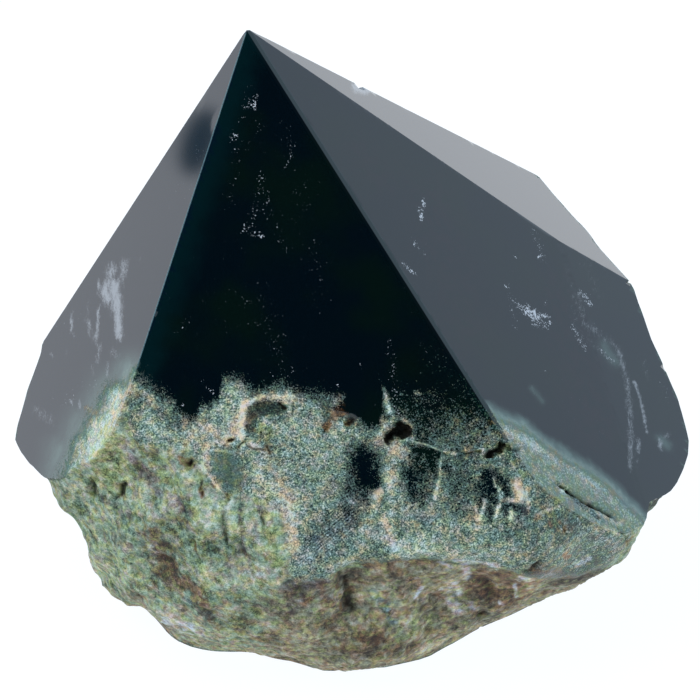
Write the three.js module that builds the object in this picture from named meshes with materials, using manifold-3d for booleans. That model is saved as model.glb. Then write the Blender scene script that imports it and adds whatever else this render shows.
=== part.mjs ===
// A bloodstone point: one boulder of bloodstone that keeps its natural rind round the foot, is sawn flat
// underneath and ground to a six-sided point on top. Millimetres, +Z up, origin at the middle of the base.
// The show side faces -Y and leans back, so most shapes are given in its own frame: x to the right, v up the
// show side, w out of it, all measured from the boulder's heart.
import * as THREE from "three";
import { mergeVertices } from "three/addons/utils/BufferGeometryUtils.js";
import Module from "manifold-3d";

// Driving dimensions
const LEAN = 25; // degrees that the show side leans back from upright
const HEART_HEIGHT = 31.4; // the boulder's heart above the sawn base
const APEX = new THREE.Vector3(-15.1, -12.7, 101.1); // tip of the point, from a foot under the heart
const SECTION_POWER = 3; // how boxy the boulder is from front to back: 2 is an ellipse
const FRONT_SWELL = 46; // depth of the boulder in front of the heart
const FRONT_SWELL_SIDE = 0.8; // how much less of it there is on the right, and more on the left
const BACK_SWELL = 45;
const SHOULDER_SWELL = 60; // what the uncut boulder had more above the heart, all of it ground away
const FINENESS = 26; // facets along each side of the icosahedron that the boulder is shaped from

// The boulder's outline seen square to the show side, anticlockwise from its right end. The points over the top
// stand clear of the ground faces, which cut the stone there.
const OUTLINE = [
  [56.4, -7.8],
  [56.1, -4.9],
  [53.2, 4.8],
  [51, 12.7],
  [49.2, 18.6],
  [43.6, 24.8],
  [39.4, 31.9],
  [35, 41.5],
  [28, 50],
  [12, 62],
  [-7, 72],
  [-27, 69],
  [-40, 52],
  [-45.8, 33],
  [-49.3, 9.5],
  [-52.1, 0],
  [-53.6, -6.2],
  [-51.8, -8.9],
  [-46.3, -14.1],
  [-41.6, -21.5],
  [-41.6, -25.7],
  [-37.2, -31.4],
  [-32.6, -34],
  [-26.8, -38.9],
  [-14.9, -41.1],
  [0.8, -43.9],
  [10.6, -42.4],
  [17.8, -38.4],
  [29.2, -34],
  [38.7, -28.8],
  [44.9, -24],
  [48.2, -19.3],
  [49.7, -17],
  [54.3, -12.4],
];

// The ridges that run down from the apex: the compass direction of each, and how steeply it falls, in degrees.
// A ground face lies between each two neighbours.
const RIDGES = [
  { azimuth: -125.8, fall: 58.2 },
  { azimuth: -35.6, fall: 49.1 },
  { azimuth: 25.4, fall: 39.7 },
  { azimuth: 47.9, fall: 33.2 },
  { azimuth: 100, fall: 47 },
  { azimuth: 159.2, fall: 58.4 },
];
const FRONT_RIGHT_BEVEL = 1.1; // width of the narrow bevel along the ridge right of the show face
const SIDE_FACE = { azimuth: -16.4, dip: 52.8, through: [34.7, 11, 55.4] }; // soft last face low on the right

// The rind: rolling lumps, as waves whose directions turn by the golden angle
const LUMP_COUNT = 14;
const LUMP_LENGTH = 30; // longest wave
const LUMP_SHORTEN = 0.86; // each wave against the last
const LUMP_HEIGHT = 0.55; // of the longest wave
const GOLDEN_ANGLE = Math.PI * (3 - Math.sqrt(5));
const OUTLINE_HALF_WIDTH = 14; // the rind is calmer this near to the outline, front or back of it
const OUTLINE_CALM = 0.85; // how much of the lumps is gone on the outline itself

// Hollows in the rind of the show side, or swellings where the depth is below zero: middle (x, v), half width,
// half height and depth
const HOLLOWS = [
  { x: 27, v: -22, wide: 9, tall: 6, deep: -3.6 }, // stone that fills out the low right of the show face
  { x: 42, v: -17, wide: 6, tall: 5, deep: -2.4 },
  { x: 12, v: -33, wide: 17, tall: 4.6, deep: 1.5 }, // long brown scoop under the show face
  { x: 0.8, v: -30.5, wide: 1.8, tall: 4.4, deep: 1.4 }, // cleft at its left end
  { x: 23, v: -29.7, wide: 2.8, tall: 2.6, deep: 1.5 }, // round pit at its right end
  { x: -31, v: -9, wide: 6, tall: 7, deep: 1.6 },
  { x: -35.5, v: -13.7, wide: 2.2, tall: 3.4, deep: 1.3 },
  { x: -27.9, v: -25.2, wide: 2.6, tall: 2.4, deep: 1.4 },
  { x: -23.8, v: -9, wide: 2.6, tall: 1.8, deep: 1.1 },
  { x: -38, v: -27, wide: 2.4, tall: 4, deep: 1 },
];

// Vugs, the open holes where the ground show face cuts through porous stone, the crack along the foot of the
// face on its right, and the chip out of the ridge behind the apex: middle (x, v), half width, half height,
// depth, and how far each is turned, in degrees
const VUGS = [
  { x: 8.4, v: -4.4, wide: 1.8, tall: 0.9, deep: 1.6, turn: 24 },
  { x: 6.9, v: -5.4, wide: 1, tall: 0.6, deep: 1, turn: 40 },
  { x: 23, v: -7, wide: 1.9, tall: 0.7, deep: 1.4, turn: 28 },
  { x: -12.2, v: -0.7, wide: 2.6, tall: 0.9, deep: 1, turn: 8 },
  { x: -14.4, v: -2.5, wide: 0.8, tall: 1.7, deep: 0.9, turn: -8 },
  { x: -0.6, v: -2, wide: 1.7, tall: 0.9, deep: 1, turn: -10 },
];
const CRACK = { x: 36.2, v: -15, wide: 6, tall: 0.5, deep: 1.1, turn: -27 };
const CHIP = { x: 1.8, v: 50.4, wide: 2.1, tall: 0.8, deep: 2.4, turn: -27 };

const rad = THREE.MathUtils.degToRad;
const lean = new THREE.Matrix4().makeRotationX(rad(-LEAN));
const heart = new THREE.Vector3(0, 0, HEART_HEIGHT);

// x, v, w of the show side's frame turned into the part's own directions.
function fromShowSide(x, v, w) {
  return new THREE.Vector3(x, -w, v).applyMatrix4(lean);
}

// The outline's distance from the heart at an angle, as a smooth closed curve through its points.
const spokes = OUTLINE.map(([x, v]) => ({ angle: Math.atan2(v, x), reach: Math.hypot(x, v) }));
spokes.sort((a, b) => a.angle - b.angle);
function spoke(i) {
  const turns = Math.floor(i / spokes.length);
  const { angle, reach } = spokes[i - turns * spokes.length];
  return { angle: angle + turns * 2 * Math.PI, reach };
}
function outlineReach(angle) {
  let i = spokes.findIndex((s) => s.angle > angle);
  if (i < 0) i = spokes.length;
  const [before, from, to, after] = [i - 2, i - 1, i, i + 1].map(spoke);
  const span = to.angle - from.angle;
  const t = (angle - from.angle) / span;
  const slopeFrom = ((to.reach - before.reach) / (to.angle - before.angle)) * span;
  const slopeTo = ((after.reach - from.reach) / (after.angle - from.angle)) * span;
  const bend = t * t * (3 - 2 * t);
  return (
    from.reach * (1 - bend) + to.reach * bend + slopeFrom * t * (1 - t) ** 2 - slopeTo * t * t * (1 - t)
  );
}

// How far the boulder reaches from its heart in a direction (x, v, w) of the show side's frame.
function boulderReach({ x, y: v, z: w }) {
  const angle = Math.atan2(v, x);
  const across = Math.hypot(x, v);
  const up = Math.max(0, Math.sin(angle));
  const front = FRONT_SWELL - FRONT_SWELL_SIDE * Math.cos(angle);
  const swell = w > 0 ? front + SHOULDER_SWELL * up ** 1.5 : BACK_SWELL;
  const filled = (across / outlineReach(angle)) ** SECTION_POWER + (Math.abs(w) / swell) ** SECTION_POWER;
  return filled ** (-1 / SECTION_POWER);
}

// The rind's height over the smooth boulder at a point.
function lumps(p) {
  let height = 0;
  for (let k = 0; k < LUMP_COUNT; k++) {
    const rise = 1 - (2 * (k + 0.5)) / LUMP_COUNT;
    const flat = Math.sqrt(1 - rise * rise);
    const along = p.x * flat * Math.cos(k * GOLDEN_ANGLE) + p.y * flat * Math.sin(k * GOLDEN_ANGLE) + p.z * rise;
    const shrink = LUMP_SHORTEN ** k;
    height += LUMP_HEIGHT * shrink * Math.sin((2 * Math.PI * along) / (LUMP_LENGTH * shrink) + k * k);
  }
  return height;
}

// How much the hollows take off the rind there.
function hollowed(x, v) {
  return HOLLOWS.reduce((sum, h) => {
    const away = ((x - h.x) / h.wide) ** 2 + ((v - h.v) / h.tall) ** 2;
    return sum + h.deep * Math.exp(-(away ** 1.5));
  }, 0);
}

const wasm = await Module();
wasm.setup();

function solid(geometry) {
  geometry.deleteAttribute("normal");
  geometry.deleteAttribute("uv");
  const merged = mergeVertices(geometry, 1e-4);
  return new wasm.Manifold(
    new wasm.Mesh({
      numProp: 3,
      vertProperties: merged.attributes.position.array,
      triVerts: new Uint32Array(merged.index.array),
    }),
  );
}

// The whole boulder before it was sawn and ground.
function boulder() {
  const geometry = new THREE.IcosahedronGeometry(1, FINENESS);
  const position = geometry.attributes.position;
  const ray = new THREE.Vector3();
  for (let i = 0; i < position.count; i++) {
    ray.fromBufferAttribute(position, i).normalize();
    const reach = boulderReach(ray);
    const place = fromShowSide(ray.x, ray.y, ray.z).multiplyScalar(reach);
    const edge = Math.exp(-((ray.z * reach) ** 2) / OUTLINE_HALF_WIDTH ** 2);
    const hollow = ray.z > 0 ? hollowed(ray.x * reach, ray.y * reach) : 0;
    const relief = lumps(place) * (1 - OUTLINE_CALM * edge) - hollow * (1 - edge);
    place.addScaledVector(place.clone().normalize(), relief);
    place.add(heart);
    position.setXYZ(i, place.x, place.y, place.z);
  }
  return solid(geometry);
}

// A block that covers everything beyond a plane: the waste that sawing or grinding takes off.
function waste(normal, point) {
  const SIZE = 400;
  const block = new THREE.BoxGeometry(SIZE, SIZE, SIZE);
  block.translate(0, 0, SIZE / 2);
  const turn = new THREE.Quaternion().setFromUnitVectors(new THREE.Vector3(0, 0, 1), normal);
  block.applyQuaternion(turn);
  block.translate(point.x, point.y, point.z);
  return solid(block);
}

function downhill({ azimuth, fall }) {
  const flat = Math.cos(rad(fall));
  return new THREE.Vector3(flat * Math.cos(rad(azimuth)), flat * Math.sin(rad(azimuth)), -Math.sin(rad(fall)));
}

function slope({ azimuth, dip }) {
  const flat = Math.sin(rad(dip));
  return new THREE.Vector3(flat * Math.cos(rad(azimuth)), flat * Math.sin(rad(azimuth)), Math.cos(rad(dip)));
}

// A small rounded hole, sunk into the ground face with this normal where the show side sees it at (x, v).
function hole(normal, { x, v, wide, tall, deep, turn }) {
  const ball = new THREE.SphereGeometry(1, 14, 10);
  ball.scale(wide, tall, deep);
  ball.rotateZ(rad(turn));
  ball.rotateX(Math.PI / 2); // its depth now runs along Y
  ball.applyMatrix4(lean);
  const sight = fromShowSide(0, 0, 1);
  ball.applyQuaternion(new THREE.Quaternion().setFromUnitVectors(sight, normal));
  const place = fromShowSide(x, v, 0).add(heart);
  place.addScaledVector(sight, normal.dot(APEX.clone().sub(place)) / normal.dot(sight));
  ball.translate(place.x, place.y, place.z);
  return solid(ball);
}

let stone = boulder();
stone = stone.subtract(waste(new THREE.Vector3(0, 0, -1), new THREE.Vector3(0, 0, 0)));
const faces = RIDGES.map((ridge, i) => {
  const next = RIDGES[(i + 1) % RIDGES.length];
  return new THREE.Vector3().crossVectors(downhill(ridge), downhill(next)).normalize();
});
faces.forEach((normal) => {
  stone = stone.subtract(waste(normal, APEX));
});
const side = new THREE.Vector3(...SIDE_FACE.through);
stone = stone.subtract(waste(slope(SIDE_FACE), side));

// The bevel takes the sharp corner between the show face and the face on its right.
const [showFace, rightFace, , hiddenFace] = faces;
const between = showFace.clone().add(rightFace).normalize();
const cornerHalf = Math.acos(showFace.dot(rightFace)) / 2;
const bevelDepth = (FRONT_RIGHT_BEVEL / 2) * Math.tan(cornerHalf);
stone = stone.subtract(waste(between, APEX.clone().addScaledVector(between, -bevelDepth)));

VUGS.forEach((vug) => {
  stone = stone.subtract(hole(showFace, vug));
});
stone = stone.subtract(hole(rightFace, CRACK));
stone = stone.subtract(hole(hiddenFace, CHIP));

const made = stone.getMesh();
const surface = new THREE.BufferGeometry();
surface.setAttribute("position", new THREE.BufferAttribute(new Float32Array(made.vertProperties), 3));
surface.setIndex(new THREE.BufferAttribute(new Uint32Array(made.triVerts), 1));
surface.computeBoundingBox();
const middle = surface.boundingBox.getCenter(new THREE.Vector3());
surface.translate(-middle.x, -middle.y, 0);
surface.computeVertexNormals();

const group = new THREE.Group();
const bloodstone = new THREE.Mesh(
  surface,
  new THREE.MeshStandardMaterial({ color: 0x14282a, roughness: 0.2, metalness: 0 }),
);
bloodstone.name = "bloodstone_point";
group.add(bloodstone);

export default group;
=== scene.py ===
import math

import bmesh
import bpy
import numpy as np
from mathutils import Matrix, Vector, noise
from mathutils.bvhtree import BVHTree
from mathutils.kdtree import KDTree


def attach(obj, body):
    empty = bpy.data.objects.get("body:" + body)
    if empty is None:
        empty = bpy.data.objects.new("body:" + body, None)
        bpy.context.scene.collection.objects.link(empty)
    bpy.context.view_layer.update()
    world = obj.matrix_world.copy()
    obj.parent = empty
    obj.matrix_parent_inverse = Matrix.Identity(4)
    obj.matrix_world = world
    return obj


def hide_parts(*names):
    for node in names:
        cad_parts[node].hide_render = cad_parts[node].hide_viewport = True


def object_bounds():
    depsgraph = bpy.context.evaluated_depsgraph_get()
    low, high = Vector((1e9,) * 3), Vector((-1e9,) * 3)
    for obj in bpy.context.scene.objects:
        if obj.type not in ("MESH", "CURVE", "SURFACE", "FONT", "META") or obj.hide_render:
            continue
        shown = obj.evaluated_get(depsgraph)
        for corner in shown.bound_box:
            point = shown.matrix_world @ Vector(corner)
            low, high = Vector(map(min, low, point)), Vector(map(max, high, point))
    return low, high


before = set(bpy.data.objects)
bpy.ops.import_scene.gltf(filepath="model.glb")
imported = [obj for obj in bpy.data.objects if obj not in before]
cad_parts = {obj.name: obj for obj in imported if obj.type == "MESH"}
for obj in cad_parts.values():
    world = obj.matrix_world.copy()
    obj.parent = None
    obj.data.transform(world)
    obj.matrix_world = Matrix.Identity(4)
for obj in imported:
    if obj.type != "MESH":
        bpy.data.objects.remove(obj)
cad_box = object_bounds()

# The camera looks square at the show side, which leans back 25 degrees, from 0.7 m away with a long lens.
# All marks on the stone are placed by the pixel of the photograph where they show.
MM = 0.001
LEAN = math.radians(25)
ACROSS = Vector((1, 0, 0))
UP_SHOW_SIDE = Vector((0, math.sin(LEAN), math.cos(LEAN)))
OUT_OF_SHOW_SIDE = Vector((0, -math.cos(LEAN), math.sin(LEAN)))
PHOTO_SIZE = 700
LENS = 220
SENSOR = 36
CAMERA_AWAY = 700 * MM
TIP_FROM_HEART = Vector((-15.1, -12.7, 0)) * MM
HEART_HEIGHT = 31.4 * MM
AIM_RIGHT = 0.8 * MM
AIM_UP = 8.2 * MM

cad_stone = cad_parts["bloodstone_point"]
tip = max((v.co for v in cad_stone.data.vertices), key=lambda co: co.z)
heart = Vector((tip.x, tip.y, HEART_HEIGHT)) - TIP_FROM_HEART
aim = heart + AIM_RIGHT * ACROSS + AIM_UP * UP_SHOW_SIDE
camera_place = aim + CAMERA_AWAY * OUT_OF_SHOW_SIDE

lens = bpy.data.cameras.new("photo_camera")
lens.lens = LENS
lens.sensor_width = SENSOR
lens.clip_end = 20
camera = bpy.data.objects.new("photo_camera", lens)
camera_turn = Matrix((ACROSS, UP_SHOW_SIDE, OUT_OF_SHOW_SIDE)).transposed().to_4x4()
camera.matrix_world = Matrix.Translation(camera_place) @ camera_turn
bpy.context.scene.collection.objects.link(camera)
bpy.context.scene.camera = camera

# The stone is one boulder of bloodstone, a green-black chalcedony. It was sawn flat underneath and ground to
# a six-sided point on a flat lap, and below those ground faces it keeps its natural rind. Each ridge between
# two ground faces has a hair-fine worn edge, and the front right one a bevel a millimetre wide.
WORN_EDGE = 0.13 * MM
# the way each ridge runs down from the tip, and the way the side face looks: azimuth and fall in degrees
RIDGES = [(-125.8, 58.2), (-35.6, 49.1), (25.4, 39.7), (47.9, 33.2), (100, 47), (159.2, 58.4)]
SIDE_FACE = (-16.4, 52.8)
GRID_CUTS = 80
# parts of the photograph, as x, y, x, y, where the grid is halved once and then once more
FINE_PARTS = [(0, 350, 700, 700)]
FINEST_PARTS = [
    (205, 392, 300, 458), (378, 405, 448, 502), (470, 436, 532, 524), (338, 574, 356, 616),
    (470, 566, 526, 610), (218, 502, 282, 566), (552, 478, 630, 545),
]
PAST_LIMB = -0.25
RAYS_FORWARD = 6 * MM
RELAXED_OVER = (0.9 * MM, 1.8 * MM)
ON_FACE = 0.03 * MM
# a spot on the show face, x, y, half width and half height, where the CAD stone's shallow hollow is levelled
LEVEL_SPOT = (500, 492, 20, 30)
LEVEL_ENDS = 1.6
LEVEL_FADE = 0.6
LEVEL_DEPTH = 0.8 * MM
CROSSING_STEPS = 8
RIDGE_SNAP = 0.0008
RIDGE_SAMPLE = 20 * MM


def downhill(azimuth, fall):
    azimuth, fall = math.radians(azimuth), math.radians(fall)
    return Vector((math.cos(fall) * math.cos(azimuth), math.cos(fall) * math.sin(azimuth), -math.sin(fall)))


copied = bmesh.new()
copied.from_mesh(cad_stone.data)
bmesh.ops.remove_doubles(copied, verts=copied.verts, dist=0.001 * MM)
cad_surface = BVHTree.FromBMesh(copied)
cad_points = np.array([v.co for v in copied.verts])
copied.free()

facings = []
for i, ridge in enumerate(RIDGES):
    facings.append(downhill(*ridge).cross(downhill(*RIDGES[(i + 1) % len(RIDGES)])).normalized())
show_face, right_face, upper_face, back_right_face, back_left_face, left_face = range(6)
bevel_face, side_face, base_face = 6, 7, 8
facings.append((facings[show_face] + facings[right_face]).normalized())
side_azimuth, side_dip = map(math.radians, SIDE_FACE)
side_out = math.sin(side_dip)
side_x, side_y = side_out * math.cos(side_azimuth), side_out * math.sin(side_azimuth)
facings.append(Vector((side_x, side_y, math.cos(side_dip))))
facings.append(Vector((0, 0, -1)))
# each ground face lies as far out as the CAD stone reaches that way
reaches = [float((cad_points @ np.array(facing)).max()) for facing in facings]

# The mesh starts as a ball of even squares round the middle of the stone, finer where the photograph shows
# the lower part. It is cut along each ridge, and then every point moves out to the surface.
middle = heart + RAYS_FORWARD * OUT_OF_SHOW_SIDE
pixels_per_slope = PHOTO_SIZE * LENS / SENSOR


def in_photograph(place):
    """Where a place shows in the photograph: x and y in pixels."""
    offset = place - camera_place
    away = -offset.dot(OUT_OF_SHOW_SIDE)
    x = PHOTO_SIZE / 2 + pixels_per_slope * offset.dot(ACROSS) / away
    y = PHOTO_SIZE / 2 - pixels_per_slope * offset.dot(UP_SHOW_SIDE) / away
    return x, y


def shows_in(vert, parts):
    """Whether the place where a ball point will land shows in one of these parts of the photograph."""
    hit, normal, _, _ = cad_surface.ray_cast(middle, vert.co.normalized())
    x, y = in_photograph(hit)
    toward_camera = normal.dot((camera_place - hit).normalized()) > PAST_LIMB
    return toward_camera and any(x0 < x < x1 and y0 < y < y1 for x0, y0, x1, y1 in parts)


stone_mesh = bmesh.new()
bmesh.ops.create_cube(stone_mesh, size=2)
bmesh.ops.subdivide_edges(stone_mesh, edges=stone_mesh.edges, cuts=GRID_CUTS, use_grid_fill=True)
for vert in stone_mesh.verts:
    vert.co = Vector([math.tan(c * math.pi / 4) for c in vert.co]).normalized()
for parts in (FINE_PARTS, FINEST_PARTS):
    shown = {vert for vert in stone_mesh.verts if shows_in(vert, parts)}
    fine = [face for face in stone_mesh.faces if all(vert in shown for vert in face.verts)]
    stone_mesh.edges.index_update()
    fine_edges = sorted({edge for face in fine for edge in face.edges}, key=lambda edge: edge.index)
    bmesh.ops.subdivide_edges(stone_mesh, edges=fine_edges, cuts=1, use_grid_fill=True)
    for vert in stone_mesh.verts:
        vert.co.normalize()


def ground_reach(direction):
    """How far the nearest ground face is from the middle in this direction."""
    nearest = 1.0
    for number, facing in enumerate(facings):
        slant = facing.dot(direction)
        if slant > 0.01:
            nearest = min(nearest, (reaches[number] - facing.dot(middle)) / slant)
    return nearest


def stone_reach(direction):
    """How far the CAD stone reaches this way, made level with the show face at one spot."""
    reach = (cad_surface.ray_cast(middle, direction)[0] - middle).length
    gap = ground_reach(direction) - reach
    if ON_FACE < gap < LEVEL_DEPTH:
        x, y = in_photograph(middle + direction * reach)
        spot_x, spot_y, wide, tall = LEVEL_SPOT
        apart = math.hypot((x - spot_x) / wide, (y - spot_y) / tall)
        reach += gap * min(max((LEVEL_ENDS - apart) / LEVEL_FADE, 0), 1)
    return reach


def is_ground(direction):
    return abs(stone_reach(direction) - ground_reach(direction)) < ON_FACE


# where a ball edge crosses from a ground face to the rind, its nearer end is moved to the crossing
on_ground = {vert: is_ground(vert.co) for vert in stone_mesh.verts}
rim = {}
for edge in stone_mesh.edges:
    one, other = edge.verts
    if on_ground[one] != on_ground[other]:
        ground_side, rind_side = (one.co, other.co) if on_ground[one] else (other.co, one.co)
        for _ in range(CROSSING_STEPS):
            between_them = (ground_side + rind_side).normalized()
            if is_ground(between_them):
                ground_side = between_them
            else:
                rind_side = between_them
        for vert in edge.verts:
            moved_by = (ground_side - vert.co).length
            if moved_by <= edge.calc_length() / 2 and moved_by < rim.get(vert, (1, None))[0]:
                rim[vert] = (moved_by, ground_side)
for vert, (moved_by, crossing) in rim.items():
    vert.co = crossing
bmesh.ops.connect_verts(stone_mesh, verts=list(rim))

# cut the ball along each ridge
for one, other in [
    (left_face, show_face), (show_face, bevel_face), (bevel_face, right_face), (right_face, upper_face),
    (upper_face, side_face), (upper_face, back_right_face), (back_right_face, back_left_face),
    (back_left_face, left_face),
]:
    along = facings[one].cross(facings[other]).normalized()
    if along.z > 0:
        along = -along
    planes = Matrix((facings[one], facings[other], along))
    foot = planes.inverted() @ Vector((reaches[one], reaches[other], along.dot(middle)))
    run = foot + along * RIDGE_SAMPLE - middle
    near = [f for f in stone_mesh.faces if f.calc_center_median().dot(run.normalized()) > 0]
    near_parts = set(near)
    for face in near:
        near_parts.update(face.edges)
        near_parts.update(face.verts)
    bmesh.ops.bisect_plane(
        stone_mesh, geom=list(near_parts), dist=RIDGE_SNAP, plane_co=(0, 0, 0),
        plane_no=along.cross(foot - middle).normalized(),
    )

# the CAD rind is faceted, so it is relaxed before the fine relief goes on
for vert in stone_mesh.verts:
    direction = vert.co.normalized()
    reach = stone_reach(direction)
    ground = ground_reach(direction)
    if abs(reach - ground) < ON_FACE:
        reach = ground
    else:
        one_way = direction.orthogonal().normalized()
        other_way = direction.cross(one_way)
        around = [reach]
        for radius in RELAXED_OVER:
            for turn in range(6):
                angle = turn * math.pi / 3
                aside = one_way * math.cos(angle) + other_way * math.sin(angle)
                around.append(stone_reach((direction * reach + aside * radius).normalized()))
        reach = min(sum(around) / len(around), ground)
    vert.co = middle + direction * reach


def face_number(center):
    for number, facing in enumerate(facings):
        if abs(facing.dot(center) - reaches[number]) < ON_FACE:
            return number
    return -1


numbers = {face: face_number(face.calc_center_median()) for face in stone_mesh.faces}
ridge_edges = []
for edge in stone_mesh.edges:
    pair = {numbers[face] for face in edge.link_faces}
    if len(pair) == 2 and -1 in pair:
        edge.smooth = False
    if len(pair) == 2 and -1 not in pair and pair != {right_face, side_face}:
        ridge_edges.append(edge)
worn = bmesh.ops.bevel(
    stone_mesh, geom=ridge_edges, offset=WORN_EDGE, offset_type="OFFSET", segments=2, profile=0.5,
    affect="EDGES", material=-1, clamp_overlap=True,
)
for face in stone_mesh.faces:
    face.smooth = True
for face in worn["faces"]:
    for edge in face.edges:
        edge.smooth = False
bmesh.ops.recalc_face_normals(stone_mesh, faces=stone_mesh.faces)
mesh = bpy.data.meshes.new("bloodstone")
stone_mesh.to_mesh(mesh)
stone_mesh.free()
stone = bpy.data.objects.new("bloodstone", mesh)
bpy.context.scene.collection.objects.link(stone)

# Where every point of the surface shows in the photograph, and how it lies
count = len(mesh.vertices)
flat = np.zeros(count * 3)
mesh.vertices.foreach_get("co", flat)
points = flat.reshape(-1, 3)
flat = np.zeros(count * 3)
mesh.vertices.foreach_get("normal", flat)
normals = flat.reshape(-1, 3)
from_camera = points - np.array(camera_place)
away = -from_camera @ np.array(OUT_OF_SHOW_SIDE)
seen_x = PHOTO_SIZE / 2 + pixels_per_slope * (from_camera @ np.array(ACROSS)) / away
seen_y = PHOTO_SIZE / 2 - pixels_per_slope * (from_camera @ np.array(UP_SHOW_SIDE)) / away
toward = -from_camera / np.linalg.norm(from_camera, axis=1)[:, None]
facing_camera = (normals * toward).sum(axis=1)
LIMB = -0.05
LIMB_FADE = 0.15
in_view = np.clip((facing_camera - LIMB) / LIMB_FADE, 0, 1)
hidden = 1 - in_view
height = points[:, 2] / MM

ground_gap = np.array([np.abs(points @ np.array(f) - r) for f, r in zip(facings, reaches)])
face_of = np.where(ground_gap.min(axis=0) < ON_FACE, ground_gap.argmin(axis=0), -1)
ground = face_of >= 0


def ease(value):
    value = np.clip(value, 0, 1)
    return value * value * (3 - 2 * value)


def ripple(size, seed=0, stretch=(1, 1, 1)):
    """Smooth noise of about -1 to 1 over the surface, with waves of this size in mm."""
    places = points / MM / size / np.array(stretch)
    return np.array([noise.noise(Vector(p) + Vector((seed, 2.3 * seed, 5.7))) for p in places])


wobble_x = ripple(2.6, 11) + 0.7 * ripple(1.0, 12)
wobble_y = ripple(2.6, 14) + 0.7 * ripple(1.0, 15)


def smear(marks, ragged=0.0, seen=None):
    """A mask of soft strokes. Each mark is x, y, to x, to y, half width, strength, in photograph pixels."""
    strongest = np.zeros(count)
    at_x, at_y = seen_x + ragged * wobble_x, seen_y + ragged * wobble_y
    for x, y, to_x, to_y, half, strength in marks:
        dx, dy = to_x - x, to_y - y
        t = np.clip(((at_x - x) * dx + (at_y - y) * dy) / max(dx * dx + dy * dy, 1e-6), 0, 1)
        distance = np.hypot(at_x - x - t * dx, at_y - y - t * dy)
        strongest = np.maximum(strongest, strength * np.exp(-(distance / half) ** 2))
    return strongest * (in_view if seen is None else seen)


def below(line, ragged=0.0):
    """How many photograph pixels each point lies below a line of x, y from left to right."""
    line_x, line_y = np.array(line).T
    return seen_y + ragged * wobble_y - np.interp(seen_x + ragged * wobble_x, line_x, line_y)


def gap_to(chosen):
    """Distance in mm from each point to the nearest of the chosen points."""
    tree = KDTree(int(chosen.sum()))
    for i in np.flatnonzero(chosen):
        tree.insert(points[i], i)
    tree.balance()
    return np.array([tree.find(p)[2] for p in points]) / MM


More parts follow.
